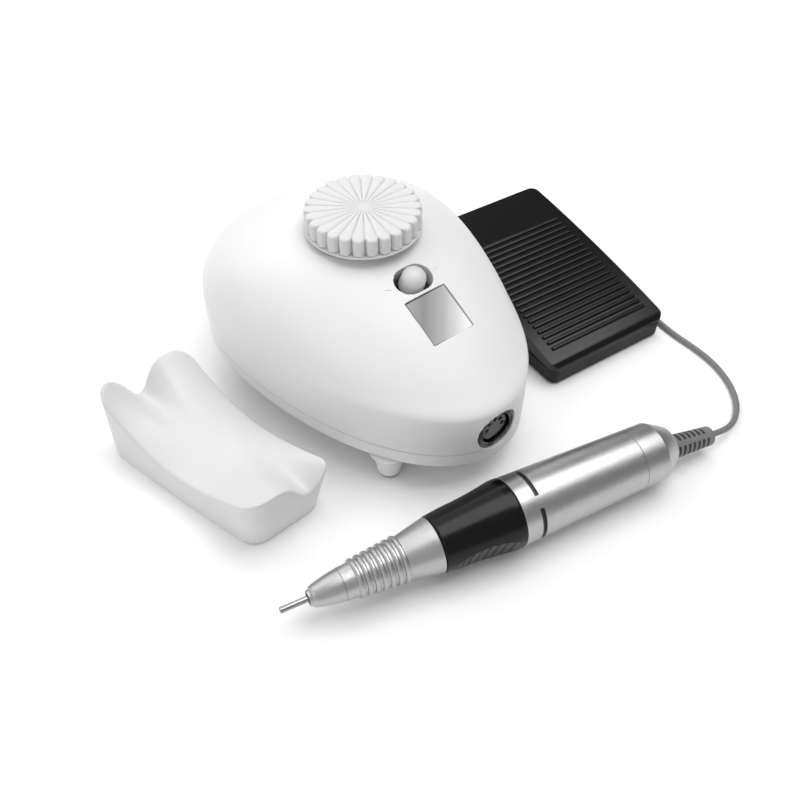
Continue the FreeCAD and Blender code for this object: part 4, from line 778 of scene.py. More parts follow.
def grey_cord():
    """Matt grey rubber-like sheath."""
    made = moulded("matt_grey_sheath", settings().lead_grey, 0.55, 0.45, 0.01, 0.06)
    made.vary_colour(made.noise(7.0, 2.0), 0.9)
    return made


def black_pedal():
    """Textured black of the pedal's cover, polished a little where feet rub it."""
    made = Finish("textured_black_cover", settings().pedal_black, 0.2)
    made.vary_gloss(made.noise(11.0, 4.0), 0.015)
    made.vary_colour(made.noise(6.0, 3.0), 0.8)
    made.emboss(made.noise(0.4, 3.0), 0.0012)
    made.set("Specular IOR Level", 0.36)
    return made


def black_pedal_base():
    """Matt black of the pedal's base."""
    made = moulded("matt_black_base", settings().pedal_black, 0.45, 0.5, 0.008, 0.06)
    made.set("Specular IOR Level", 0.3)
    return made


def black_rubber():
    """Glands of the mains lead and the pedal's lead."""
    return moulded("black_rubber", (0.015, 0.015, 0.015), 0.75, 0.6, 0.02, 0.08)


FINISHES = {}
RECIPES = {
    recipe.__name__: recipe
    for recipe in (
        white_housing,
        white_knob,
        white_rest,
        grey_rubber_foot,
        smoked_window,
        display_block,
        black_plastic,
        steel,
        gunmetal,
        nickel,
        dark_steel,
        circuit_board,
        components,
        laminations,
        winding,
        satin_aluminium,
        black_collar,
        grey_cord,
        black_pedal,
        black_pedal_base,
        black_rubber,
    )
}


def finish(slot):
    """Material of a slot, made once."""
    if slot not in FINISHES:
        FINISHES[slot] = RECIPES[slot]().material
    return FINISHES[slot]


# Control unit


class Egg:
    """Outer form of the housing: quarter ellipses in plan, power curves in height."""

    SIDE_POWER = 2.5
    FRONT_POWER = 1.38
    BACK_POWER = 2.97
    FRONT_ONSET = 0.2
    SIDE_TUCK = 0.024
    FRONT_TUCK = 0.007
    LEAN = -28.0

    PLAN_STEPS = 176
    BANDS = 36

    def __init__(self, context):
        self.sizes = Sizes(context, "drill_housing")

    def section(self, height):
        """Half width, front reach, back reach and middle at one height."""
        sizes = self.sizes
        if height >= sizes.widest_height:
            rise = (height - sizes.widest_height) / (sizes.top_height - sizes.widest_height)
            side = (1 - rise**self.SIDE_POWER) ** (1 / self.SIDE_POWER)
            onset = min(1.0, rise / self.FRONT_ONSET)
            eased = rise * onset ** (0.7 * (1 - onset))
            front = (1 - eased**self.FRONT_POWER) ** (1 / self.FRONT_POWER)
            back = (1 - rise**self.BACK_POWER) ** (1 / self.BACK_POWER)
            middle = self.LEAN * rise**2
        else:
            drop = (sizes.widest_height - height) / sizes.widest_height
            side = 1 - self.SIDE_TUCK * drop**2
            front = 1 - self.FRONT_TUCK * drop**2
            back = side
            middle = 0.0
        return sizes.half_width * side, sizes.front_reach * front, sizes.back_reach * back, middle

    def point(self, angle, height, inset=0.0, share=1.0):
        """Point on the outline at one height, or a share of the way to it from its middle."""
        half, ahead, behind, middle = self.section(height)
        reach = ahead if math.sin(angle) < 0 else behind
        x = (half - inset) * math.cos(angle)
        y = (reach - inset) * math.sin(angle)
        return Vector((x * share, middle + y * share, height))

    def shape(self, bm, inset=lambda height: 0.0):
        """Draw a turned blank of radius 1 out to the egg, height by height."""
        for vert in bm.verts:
            angle = math.atan2(vert.co.y, vert.co.x)
            share = math.hypot(vert.co.x, vert.co.y)
            vert.co = self.point(angle, vert.co.z, inset(vert.co.z), share)

    def inside(self, spot):
        """Whether a spot lies inside the outline at its height."""
        half, ahead, behind, middle = self.section(spot.z)
        reach = ahead if spot.y < middle else behind
        return (spot.x / half) ** 2 + ((spot.y - middle) / reach) ** 2 < 1

    def on_top(self, x, y):
        """Frame on the dome over a spot of the plan, its Z axis pointing out."""
        corners = []
        for dx, dy in ((0, 0), (0.5, 0), (0, 0.5)):
            low = self.sizes.widest_height
            high = self.sizes.seat_height
            for _ in range(24):
                middle = (low + high) / 2
                if self.inside(Vector((x + dx, y + dy, middle))):
                    low = middle
                else:
                    high = middle
            corners.append(Vector((x + dx, y + dy, low)))
        along = (corners[1] - corners[0]).normalized()
        out = along.cross(corners[2] - corners[0]).normalized()
        axes = Matrix((along, out.cross(along), out)).transposed().to_4x4()
        return Matrix.Translation(corners[0]) @ axes


def socket_bore():
    """Cutter for the bore through the nose."""
    bore = rod(SOCKET_BORE, -6, SOCKET_BORE_DEPTH, 96)
    return put(bore, shifted(*SOCKET_SPOT) @ turned_by(-90, "X"))


def rear_spot(egg, step):
    """Spot on the back of the housing, so many pitches right of its middle."""
    half, _, behind, _ = egg.section(REAR_HEIGHT)
    x = step * REAR_PITCH
    return Vector((x, behind * math.sqrt(1 - (x / half) ** 2), REAR_HEIGHT))


def housing_cutters(egg):
    """Openings of the dome: socket, knob bush, switch slot, display and rear fittings."""
    cutters = [socket_bore()]
    cutters.append(put(rod(BUSH_BORE, 60, 90, 48), shifted(*KNOB_SPOT, 0)))
    cutters.append(put(stadium(*SWITCH_SLOT, -14, 8, 64), TOGGLE))
    cutters.append(put(slab(*DISPLAY_HOLE, -14, 8, 0.5, 3), DISPLAY))
    for step, radius in REAR_BORES.items():
        place = Matrix.Translation(rear_spot(egg, step)) @ turned_by(-90, "X")
        cutters.append(put(rod(radius, -14, 8, 48), place))
    return cutters


def housing_marks(egg):
    """Three round dents left of the knob, and a short groove on either side of the switch."""
    cutters = []
    for x, y in DENT_SPOTS:
        dent = bmesh.new()
        bmesh.ops.create_uvsphere(dent, u_segments=24, v_segments=16, radius=DENT_RADIUS)
        cutters.append(put(dent, egg.on_top(x, y) @ shifted(0, 0, DENT_CENTRE)))
    for x, y, turn in SWITCH_MARKS:
        groove = stadium(3.2, 0.55, -0.25, 1.0, 16)
        cutters.append(put(groove, egg.on_top(x, y) @ turned_by(turn, "Z")))
    return cutters


def build_housing(context):
    """Dome with its openings, the well of the switch and the ledge of the display."""
    egg = Egg(context)
    sizes = egg.sizes
    low = sizes.part_line + SEAM_GAP / 2
    widest = sizes.widest_height
    seat = sizes.seat_height
    profile = [(1.0, low + (widest - low) * step / 6) for step in range(6)]
    for band in range(egg.BANDS + 1):
        rise = (1 - math.cos(math.pi * band / egg.BANDS)) / 2
        profile.append((1.0, widest + (seat - widest) * rise))
    profile += [(share, seat) for share in (0.86, 0.6, 0.3, 0.0)]
    shell = turned(profile, egg.PLAN_STEPS)
    egg.shape(shell)
    bmesh.ops.recalc_face_normals(shell, faces=shell.faces)
    round_off(shell, sharp_edges(shell, 14, lambda spot: spot.z > seat - 0.05), 1.6, 4)
    bmesh.ops.solidify(shell, geom=shell.faces, thickness=sizes.wall)
    bmesh.ops.recalc_face_normals(shell, faces=shell.faces)
    well = put(stadium(*(side + 2 * SWITCH_WELL_WALL for side in SWITCH_SLOT), -12.5, -1.6, 64), TOGGLE)
    ledge = put(slab(DISPLAY_LEDGE, DISPLAY_LEDGE, -7.0, -1.6, 1.5), DISPLAY)
    shell = carved(shell, well, "UNION")
    shell = carved(shell, ledge, "UNION")
    for cutter in housing_cutters(egg) + housing_marks(egg):
        shell = carved(shell, cutter)
    openings = []
    for place, reach in ((TOGGLE, 11.0), (DISPLAY, 16.0), (shifted(*SOCKET_SPOT), 13.0)):
        openings.append((place.translation, reach))

    def at_opening(spot):
        if spot.z < low + 0.1:
            return False
        return any((spot - middle).length < reach for middle, reach in openings)

    rims = [edge for edge in sharp_edges(shell, 40, at_opening) if outer_edge(egg, edge)]
    soften_rim(shell, rims, 0.35)
    piece("housing_shell", shell, UNIT, "control_unit", "white_housing", ("upper_housing",), 30.0)


def outer_edge(egg, edge):
    """Whether an edge lies on the outer form of the egg."""
    middle = (edge.verts[0].co + edge.verts[1].co) / 2
    outwards = Vector((middle.x, middle.y - egg.LEAN, 0.0)).normalized() + Vector((0, 0, 0.6))
    return egg.inside(middle - outwards * 0.25) and not egg.inside(middle + outwards * 0.25)


def soften_rim(bm, edges, width):
    """Small round on the rim of an opening, after its shortest edges are merged."""
    verts = list(dict.fromkeys(vert for edge in edges for vert in edge.verts))
    bmesh.ops.remove_doubles(bm, verts=verts, dist=width * 0.6)
    round_off(bm, [edge for edge in edges if edge.is_valid], width, clamp=False)


def build_tray(context):
    """Tray with its tongue, the posts of its screws and its feet."""
    egg = Egg(context)
    sizes = egg.sizes
    low = sizes.base_height
    high = sizes.part_line - SEAM_GAP / 2
    rounding = 1.8

    def inset(height):
        drop = max(0.0, low + rounding - height) / rounding
        return rounding * (1 - math.sqrt(max(0.0, 1 - drop * drop)))

    profile = [(share, low) for share in (0.0, 0.3, 0.6, 0.85)]
    for step in range(7):
        angle = math.pi / 2 * step / 6
        profile.append((1.0, low + rounding * (1 - math.cos(angle))))
    profile += [(1.0, low + rounding + (high - low - rounding) * step / 3) for step in (1, 2, 3)]
    tray = turned(profile, egg.PLAN_STEPS)
    egg.shape(tray, inset)
    bmesh.ops.recalc_face_normals(tray, faces=tray.faces)
    bmesh.ops.solidify(tray, geom=tray.faces, thickness=sizes.wall)
    bmesh.ops.recalc_face_normals(tray, faces=tray.faces)
    root = high - 1
    tip = high + 2.2
    tongue = turned([(1.0, root), (1.0, tip), (0.9, tip), (0.9, root)], 120, True)
    for vert in tongue.verts:
        inner = math.hypot(vert.co.x, vert.co.y) < 0.95
        angle = math.atan2(vert.co.y, vert.co.x)
        outer_inset = sizes.wall + (0.15 if vert.co.z > high else -0.3)
        vert.co = egg.point(angle, vert.co.z, 4.25 if inner else outer_inset)
    tray = carved(tray, tongue, "UNION")
    posts = [put(rod(POST_RADIUS, low + 1.2, POST_TOP, 40), shifted(x, y, 0)) for x, y in POSTS]
    posts += [put(turned(foot_profile(low), 48), shifted(x, y, 0)) for x, y in FEET]
    tray = carved(tray, gathered(posts), "UNION")
    recesses = [put(rod(RECESS_RADIUS, low - 1, low + 5, 40), shifted(x, y, 0)) for x, y in POSTS]
    tray = carved(tray, gathered([socket_bore()] + recesses))
    piece("tray_shell", tray, UNIT, "control_unit", "white_housing", ("base_tray",), 30.0)


def foot_profile(low):
    """Foot that flares in a cove where it leaves the tray."""
    profile = [(0.0, 1.4), (4.4, 1.4), (4.9, 1.9), (5.5, 6.0), (6.2, 9.6)]
    for step in range(1, 6):
        angle = math.pi / 2 * step / 5
        profile.append((6.2 + 2.4 * (1 - math.cos(angle)), 9.6 + (low - 9.4) * math.sin(angle)))
    return profile + [(0.0, low + 0.4)]


def build_screws(context):
    """Pan-head screws that hold the tray to the housing, seen at the bottom of their recesses."""
    screws = []
    top = SCREW_TOP
    for x, y in POSTS:
        head = turned([(0, top), (2.5, top), (2.5, top - 0.8), (1.9, top - 1.5), (0, top - 1.7)], 32)
        for turn in (20, 110):
            slot = slab(3.0, 0.6, top - 3, top - 0.9)
            head = carved(head, put(slot, turned_by(turn + x, "Z")))
        screws.append(put(head, shifted(x, y, 0)))
    piece("tray_screws", gathered(screws), UNIT, "control_unit", "steel")


def build_window(context):
    """Display window, sunk a little below its rim."""
    lens = slab(*DISPLAY_LENS, -1.9, -0.42, 0.45, 4)
    round_off(lens, sharp_edges(lens, 60, lambda spot: spot.z > -0.5), 0.22, 3)
    put(lens, UNIT @ DISPLAY)
    piece("display_lens", lens, UPRIGHT, "control_unit", "smoked_window", ("display_window",))


def build_switch_cap(context):
    """Domed cap of the direction switch, hollow below."""
    radius = 5.0
    rise = 4.2
    base = -0.6
    profile = [(1.5, -5.0), (radius, -5.0), (radius + 0.25, -4.75), (radius, base)]
    for step in range(1, 14):
        share = math.sin(math.pi / 2 * step / 13)
        reach = (1 - share**2.5) ** (1 / 2.5) if step < 13 else 0.0
        profile.append((radius * reach, base + (rise - base) * share))
    profile += [(0.0, -1.2), (1.5, -1.2)]
    cap = turned(profile, 64, True)
    piece("switch_cap", cap, UNIT @ TOGGLE, "direction_toggle", "white_knob", ("toggle_cap",), 50.0)


def build_knob(context):
    """Knob turned as a plain disc, then drawn in between its lobes and along its fan."""
    sizes = Sizes(context, "drill_knob")
    top = sizes.top_height
    low = top - sizes.height
    rim = sizes.radius
    lip = 1.1
    root = 18.9
    face = [(share * (rim - lip), top) for share in (0, 0.04, 0.08, 0.11, 0.14, 0.18, 0.24, 0.32)]
    face += [(share * (rim - lip), top) for share in (0.42, 0.52, 0.62, 0.72, 0.81, 0.89, 0.95, 1.0)]
    profile = list(face)
    for step in range(1, 6):
        angle = math.pi / 2 * step / 5
        profile.append((rim - lip + lip * math.sin(angle), top - lip * (1 - math.cos(angle))))
    profile += [(rim, low + 4.2), (rim, low + 2.4), (rim, low + 0.8), (rim - 0.2, low + 0.25)]
    profile += [(rim - 0.7, low), (root, low), (root, low - 0.9), (18.7, low - 0.9), (18.7, 84.0)]
    profile += [(5.6, 84.0), (5.6, 78.8), (3.05, 78.8), (3.05, 84.0), (0.0, 84.0)]
    knob = turned(profile, sizes.lobes * STEPS_PER_LOBE)
    half_pitch = math.pi / sizes.lobes
    start = 1.2
    for vert in knob.verts:
        radius = math.hypot(vert.co.x, vert.co.y)
        if radius < 1e-4 or (radius < 19.5 and vert.co.z < 85.0):
            continue
        angle = math.atan2(vert.co.y, vert.co.x)
        off = abs((angle / half_pitch) % 2 - 1)
        edge = smooth_step((radius - root) / (rim - root))
        drawn = radius - edge * sizes.lobe_depth * off**3.2
        if vert.co.z > low + 0.5:
            groove = sizes.groove_depth * smooth_step((radius - start) / 4.0)
            fall = min(1.0, max(0.0, (vert.co.z - (top - 3.0)) / 3.0))
            dimple = 0.2 * smooth_step((1.9 - radius) / 1.2)
            vert.co.z -= fall * groove * (0.75 * off**9 + 0.25 * off**2) + dimple
        vert.co.x = math.cos(angle) * drawn
        vert.co.y = math.sin(angle) * drawn
    skirt = [(18.7, low - 0.9), (23.6, low - 0.9), (23.9, low - 0.6), (23.9, low - 0.3)]
    skirt += [(23.6, low), (18.7, low)]
    knob = gathered([knob, turned(skirt, 160, True)])
    piece("scalloped_knob", knob, KNOB, "speed_knob", "white_knob", ("speed_knob",), 48.0)


def build_socket(context):
    """Dark plated ring with a step inside its rim, and the insert with five contacts."""
    ring = [(0.0, -17.0), (9.4, -17.0), (9.4, -0.6), (9.22, -0.18), (8.8, 0.0), (8.25, 0.0)]
    ring += [(8.1, -0.35), (7.75, -0.35), (7.6, -0.05), (7.3, -0.05), (7.0, -0.35), (7.0, -13.0)]
    ring.append((0.0, -13.0))
    piece("socket_ring", turned(ring, 96), SOCKET, "control_unit", "gunmetal", ("handpiece_socket",))
    core = turned([(0, -13), (6.3, -13), (6.3, -1.65), (6.0, -1.3), (0, -1.3)], 72)
    holes = []
    for step in range(-2, 3):
        angle = math.radians(45 * step)
        hole = turned([(0, -9), (0.85, -9), (0.85, -1.55), (1.15, -1.2), (1.15, 0), (0, 0)], 24)
        holes.append(put(hole, shifted(4 * math.sin(angle), 4 * math.cos(angle), 0)))
    holes.append(put(slab(2.2, 2.4, -6, 0, 0.3), shifted(0, -6.3, 0)))
    core = carved(core, gathered(holes))
    piece("socket_core", core, SOCKET, "control_unit", "gunmetal", ("socket_insert",))


def ringed(profile, low, pitch, count, depth):
    """Ring grooves along a straight stretch of a profile, as more corners."""
    corners = list(profile)
    radius = corners[-1][0]
    for step in range(count):
        start = low + step * pitch
        corners += [(radius, start), (radius - depth, start + pitch * 0.15)]
        corners += [(radius - depth, start + pitch * 0.45), (radius, start + pitch * 0.6)]
    return corners


def rear_place(egg, step):
    """Place of a rear fitting, with Z pointing out of the back."""
    return at(*rear_spot(egg, step)) @ turned_by(-90, "X")


def build_rear_fittings(context):
    """Gland of the mains lead, cap of the fuse and jack of the pedal."""
    egg = Egg(context)
    gland = [(3.1, -10), (4.8, -10), (4.8, 0.5), (5.9, 0.5), (6.0, 0.7), (6.0, 2.2), (5.85, 2.4)]
    for step in range(4):
        reach = 2.7 + step * 1.05
        gland += [(5.75 - step * 0.2, reach), (5.35 - step * 0.2, reach + 0.15)]
        gland += [(5.35 - step * 0.2, reach + 0.45), (5.65 - step * 0.2, reach + 0.6)]
    gland += [(4.9, 6.9), (4.7, 7.0), (3.1, 7.0)]
    made = turned(gland, 64, True)
    piece("mains_lead_gland", made, rear_place(egg, 0), "control_unit", "black_rubber", ("mains_gland",))

    cap = [(0, -10), (5.0, -10), (5.0, 0.6), (6.0, 0.6), (6.2, 0.8), (6.2, 3.4), (6.0, 3.6)]
    cap += [(4.7, 3.6), (4.5, 5.4), (4.3, 5.6), (0, 5.6)]
    made = carved(turned(cap, 72), slab(9.6, 1.1, 4.4, 6.4))
    notches = []
    for step in range(18):
        notch = put(slab(0.8, 0.7, 1.2, 4.2), turned_by(20 * step, "Z") @ shifted(6.3, 0, 0))
        notches.append(notch)
    made = carved(made, gathered(notches))
    piece("fuse_cap", made, rear_place(egg, -1), "control_unit", "black_plastic", ("fuse_holder",))

    barrel = [(0, -11), (3.0, -11), (3.0, 3.2)]
    barrel = ringed(barrel, 0.4, 0.6, 5, 0.18)
    barrel += [(3.0, 4.2), (2.8, 4.4), (1.8, 4.4), (1.8, -10), (0, -10)]
    nut = bmesh.new()
    bmesh.ops.create_cone(nut, cap_ends=True, segments=6, radius1=5.0, radius2=5.0, depth=1.6)
    put(nut, shifted(0, 0, 2.4))
    round_off(nut, sharp_edges(nut, 50), 0.25, 2)
    washer = turned([(2.9, 0.9), (4.9, 0.9), (4.9, 1.5), (2.9, 1.5)], 48, True)
    made = gathered([turned(barrel, 48), nut, washer])
    piece("pedal_jack_nut", made, rear_place(egg, 1), "control_unit", "nickel", ("pedal_jack",))


# Handpiece


def build_nose(context):
    """Nose cap: a small lip round the shank, then a gently bowed cone."""
    sizes = Sizes(context, "drill_handpiece")
    end = sizes.nose_length - 0.15
    profile = [(2.35, 0.05), (2.5, 0.0), (2.85, 0.0), (3.05, 0.15), (3.05, 0.9), (3.15, 1.05)]
    profile += [(3.6, 1.15), (3.95, 1.45)]
    for step in range(1, 11):
        share = step / 10
        bow = 0.22 * math.sin(math.pi * share)
        profile.append((3.95 + (sizes.nose_radius - 4.07) * share + bow, 1.45 + (end - 1.6) * share))
    profile += [(sizes.nose_radius - 0.12, end), (3.5, end), (3.5, 6.0), (2.35, 6.0)]
    made = turned(profile, 96, True)
    place = handpiece_place(context)
    piece("nose_sleeve", made, place, "handpiece", "satin_aluminium", ("nose_cap",), 40.0)


def build_grip(context):
    """Grip cone with its half-round finger ridges."""
    sizes = Sizes(context, "drill_handpiece")
    start = sizes.nose_length
    end = handpiece_stations(context)["grip_end"] - 0.15
    first = 18.4
    pitch = 2.9
    root_front = 6.75
    root_back = 8.35
    last = first + (sizes.ridges - 0.5) * pitch
    slope = (root_back - root_front) / (max(1, sizes.ridges - 1) * pitch)

    def root(station):
        return root_front + slope * (station - first)

    profile = [(sizes.nose_radius - 0.12, start), (sizes.nose_radius, start + 0.12)]
    profile.append((root(first - pitch / 2 - 1.4) - 0.05, first - pitch / 2 - 1.4))
    for ridge in range(sizes.ridges):
        centre = first + ridge * pitch
        profile.append((root(centre - pitch / 2), centre - pitch / 2))
        for step in range(9):
            angle = math.pi * step / 8
            station = centre - 1.02 * math.cos(angle)
            profile.append((root(station) + sizes.ridge_rise * math.sin(angle) ** 0.8, station))
    profile += [(root(last), last), (root(last) + 0.1, last + 0.3)]
    profile += [(sizes.grip_radius - 0.02, end - 0.12), (sizes.grip_radius - 0.14, end)]
    profile += [(7.3, end), (7.3, end - 5), (3.05, end - 5), (3.05, start)]
    made = turned(profile, 112, True)
    place = handpiece_place(context)
    piece("ridged_grip", made, place, "handpiece", "satin_aluminium", ("grip_cone",), 45.0)


def build_collar(context):
    """Twist collar whose two finger scoops are pressed into a fine turned blank."""
    sizes = Sizes(context, "drill_handpiece")
    start = handpiece_stations(context)["grip_end"] + 0.15
    end = handpiece_stations(context)["collar_end"] - 0.15
    front = sizes.collar_front
    back = sizes.collar_back
    profile = [(9.35, start), (front - 0.35, start), (front - 0.1, start + 0.1), (front, start + 0.4)]
    levels = 104
    for level in range(1, levels):
        station = start + 0.4 + (end - 3.4 - start) * level / levels
        profile.append((front + (back - front) * (station - start) / (end - 3 - start), station))
    profile += [(back, end - 2.9), (back, end - 0.4), (back - 0.12, end - 0.1), (back - 0.4, end)]
    profile.append((9.35, end))
    collar = turned(profile, 330, True)
    middle = (start + end) / 2 + 1
    lean = (back - front) / (end - start)
    half = 12.5
    scoops = [math.radians(way) for way in (106, 286)]
    for vert in collar.verts:
        radius = math.hypot(vert.co.x, vert.co.y)
        along = vert.co.z - middle
        if radius < 10.4 or abs(along) > half:
            continue
        angle = math.atan2(vert.co.y, vert.co.x)
        off = min(abs(math.remainder(angle - way, math.tau)) for way in scoops)
        floor = (front + back) / 2 + lean * along - 1.5 + 1.3 * (along / half) ** 2
        scoop = floor / math.cos(min(off, 1.0))
        if scoop >= radius:
            continue
        rib = math.cos(math.tau * along / 3.4)
        crest = 0.42 * smooth_step((rib - 0.1) / 0.6) * smooth_step((radius - scoop) / 0.7)
        blend = smooth_step((radius - scoop) / 0.28)
        pressed = radius - (radius - scoop) * blend + crest
        drawn = min(radius, pressed) / radius
        vert.co.x *= drawn
        vert.co.y *= drawn
    place = handpiece_place(context)
    piece("twist_collar", collar, place, "lock_ring", "black_collar", ("lock_ring",), 50.0)


def sleeve_slots(inner, outer, low, width):
    """The four arcs of the broken ring slot."""
    starts = [45.5 + 90 * step for step in range(4)]
    return gathered([arc_slot(inner, outer, low, width, start, 69.0) for start in starts])


def build_sleeve(context):
    """Rear sleeve with a ring slot broken by four bridges, and the black band behind it."""
    sizes = Sizes(context, "drill_handpiece")
    start = handpiece_stations(context)["collar_end"] + 0.15
    end = handpiece_stations(context)["sleeve_end"] - 0.15
    front = sizes.sleeve_front
    back = sizes.sleeve_back
    slope = (back - front) / (end - start)
    profile = [(9.35, start), (front - 0.15, start), (front, start + 0.15)]
    profile += [(front + slope * reach, start + reach) for reach in (6, 9, 20, 32, 44)]
    profile += [(back + 0.01, end - 0.15), (back - 0.13, end), (10.6, end), (10.6, start + 8)]
    profile.append((9.35, start + 8))
    sleeve = turned(profile, 144, True)
    low = start + 6.6
    sleeve = carved(sleeve, sleeve_slots(front - 1.6, front + 2, low, 1.8))
    place = handpiece_place(context)
    piece("rear_sleeve", sleeve, place, "handpiece", "satin_aluminium", ("body_sleeve",), 30.0)
    band = sleeve_slots(front - 1.8, front - 1.1, low + 0.03, 1.74)
    piece("slot_bands", band, place, "handpiece", "black_plastic")


def build_end_cap(context):
    """Straight band, then a cone whose start is a crisp edge, down to the boot."""
    sizes = Sizes(context, "drill_handpiece")
    start = handpiece_stations(context)["sleeve_end"]
    end = handpiece_stations(context)["tail_end"]
    back = sizes.sleeve_back
    edge = start + 10.6
    profile = [(0, start - 4), (10.5, start - 4), (10.5, start), (back - 0.13, start)]
    profile += [(back - 0.01, start + 0.12), (back - 0.24, edge - 0.25), (back - 0.36, edge + 0.1)]
    for step in range(1, 9):
        share = step / 8
        bow = 0.12 * math.sin(math.pi * share)
        radius = back - 0.36 + (sizes.tail_radius + 0.7 - back + 0.36) * share + bow
        profile.append((radius, edge + 0.1 + (end - 0.9 - edge) * share))
    profile += [(sizes.tail_radius + 0.35, end - 0.3), (sizes.tail_radius - 0.1, end), (0, end)]
    seat = put(rod(BOOT_SEAT, 0, 30, 72), shifted(-BOOT_DROP, 0, end - BOOT_SUNK) @ BOOT_TILT)
    cap = carved(turned(profile, 128), seat)
    place = handpiece_place(context)
    piece("rear_cap", cap, place, "handpiece", "satin_aluminium", ("end_cap",), 32.0)


def build_boot(context):
    """Bend protector: a soft cone with four ladders of slots, each pair half a pitch apart."""
    sizes = Sizes(context, "drill_handpiece")
    wide = sizes.boot_radius
    narrow = sizes.boot_end
    reach = sizes.boot_length
    profile = [(0, 0), (wide, 0), (wide, 7.6), (wide - 0.1, 8.2)]
    profile += [(wide - (wide - narrow) * share, 8.2 + (reach - 9.2) * share) for share in (0.3, 0.6, 0.9)]
    profile += [(narrow + 0.12, reach - 1.2), (narrow, reach - 0.5), (narrow - 0.45, reach), (0, reach)]
    boot = turned(profile, 96)
    slots = []
    for row in range(4):
        rungs = 7 if row % 2 else 6
        first = 10.0 if row % 2 else 11.35
        for rung in range(rungs):
            low = first + rung * 2.7
            slots.append(arc_slot(1.7, 7.0, low, 1.45, 90 * row - 44, 62))
    boot = carved(boot, gathered(slots))
    piece("bend_boot", boot, boot_place(context), "handpiece", "grey_cord", ("cord_boot",), 34.0)


def build_shank(context):
    """Blank bit with its chamfered end."""
    profile = [(0, -10.7), (0.85, -10.7), (1.05, -10.62), (1.175, -10.4), (1.175, 0), (1.175, 22), (0, 22)]
    made = turned(profile, 40)
    piece("bit_shank", made, handpiece_place(context), "bit", "steel", ("blank_bit",))


# Lead of the handpiece

LEAD_ROUTE = [
    (80.97, -157.40, 7.65),
    (89.69, -159.15, 6.24),
    (100.5, -157.3, 3.2),
    (111.5, -150.8, 1.6),
    (119.5, -140.5, 1.35),
    (124.2, -128.4, 1.35),
    (125.6, -115.6, 1.35),
    (125.4, -103.0, 1.35),
    (127.3, -89.0, 1.35),
    (130.2, -74.0, 1.35),
    (132.4, -58.0, 1.35),
    (133.8, -42.0, 1.35),
    (136.0, -26.0, 1.35),
    (137.4, -10.0, 1.35),
    (135.2, 5.5, 1.35),
    (126.0, 17.6, 1.35),
    (112.5, 23.3, 1.35),
    (98.6, 26.2, 1.35),
    (85.5, 26.9, 1.35),
    (72.6, 26.9, 1.35),
]
COIL_MIDDLE = (70.0, 48.9)
COIL_IN_TURNS = 4.0
COIL_CLIMB_TURNS = 0.5
COIL_TURNS = 8.25


def coil_point(sizes, turns):
    """In on the lower layer, up in half a turn, and out on the upper one."""
    inner = sizes.coil_radius - sizes.coil_step * COIL_IN_TURNS
    climb = min(1.0, max(0.0, (turns - COIL_IN_TURNS) / COIL_CLIMB_TURNS))
    radius = max(inner, sizes.coil_radius - sizes.coil_step * turns)
    if turns > COIL_IN_TURNS + COIL_CLIMB_TURNS:
        radius = inner + sizes.coil_step * (turns - COIL_IN_TURNS - COIL_CLIMB_TURNS)
    angle = -math.pi / 2 - math.tau * turns
    x = COIL_MIDDLE[0] + radius * math.cos(angle)
    y = COIL_MIDDLE[1] + radius * math.sin(angle)
    return x, y, sizes.rest_height + sizes.coil_rise * (1 - math.cos(math.pi * climb)) / 2


def lead_points(context):
    """Route of the lead on the table, its coil, and the last stretch to the plug."""
    sizes = Sizes(context, "drill_lead")
    points = list(LEAD_ROUTE)
    for step in range(int(COIL_TURNS * sizes.turn_points) + 1):
        points.append(coil_point(sizes, step / sizes.turn_points))
    x, y, z = points[-1]
    points += [(x, y + 2.6, z), (x, y + 11.6, z)]
    points += [(PLUG_START[0] + 9.0, PLUG_START[1], PLUG_START[2]), PLUG_START]
    return [UNIT @ Vector(point) for point in points]


def build_lead(context):
    """The handpiece's free cord: one smooth spline from the boot to the plug."""
    sizes = Sizes(context, "drill_lead")
    points = lead_points(context)
    curve = bpy.data.curves.new("handpiece_lead", "CURVE")
    curve.dimensions = "3D"
    spline = curve.splines.new("NURBS")
    spline.points.add(len(points) - 1)
    for place, point in zip(spline.points, points):
        place.co = (*point, 1.0)
    spline.order_u = 3
    spline.use_endpoint_u = True
    curve.resolution_u = 6
    curve.bevel_depth = sizes.radius * MM
    curve.bevel_resolution = 4
    curve.use_fill_caps = True
    curve.materials.append(finish("grey_cord"))
    lead = bpy.data.objects.new("handpiece_lead", curve)
    context.scene.collection.objects.link(lead)
    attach(lead, "handpiece")
    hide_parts("handpiece_cord", "cord_coil", "plug_lead")


def build_plug(context):
    """Five-pin plug: slotted boot, ribbed grip and plated shell."""
    boot = [(0, 0), (3.7, 0), (4.1, 0.4)]
    for step in range(5):
        radius = 4.15 + step * 0.19
        low = 1.6 + step * 2.1
        root = radius - 0.7
        boot += [(radius, low), (root, low + 0.15), (root, low + 0.95), (radius + 0.1, low + 1.1)]
    boot += [(5.2, 12.6), (5.2, 13.0), (0, 13.0)]
    piece("lead_plug_boot", turned(boot, 48), PLUG, "handpiece", "grey_cord", ("plug_boot",), 40.0)
    grip = [(0, 13.0), (6.1, 13.0), (6.6, 13.3), (7.4, 16.2), (7.4, 18.0)]
    grip = ringed(grip, 18.6, 1.5, 8, 0.45)
    grip += [(7.4, 31.4), (7.4, 37.4), (7.0, 38.0), (0, 38.0)]
    piece("lead_plug_grip", turned(grip, 80), PLUG, "handpiece", "black_plastic", ("plug_grip",), 40.0)
    shell = [(0, 38.0), (6.95, 38.0), (6.95, 47.3), (6.8, 47.5), (6.5, 47.5), (6.45, 47.3)]
    shell += [(6.45, 39.0), (0, 39.0)]
    piece("lead_plug_shell", turned(shell, 80), PLUG, "handpiece", "nickel", ("plug_shell",), 40.0)


# Handpiece rest


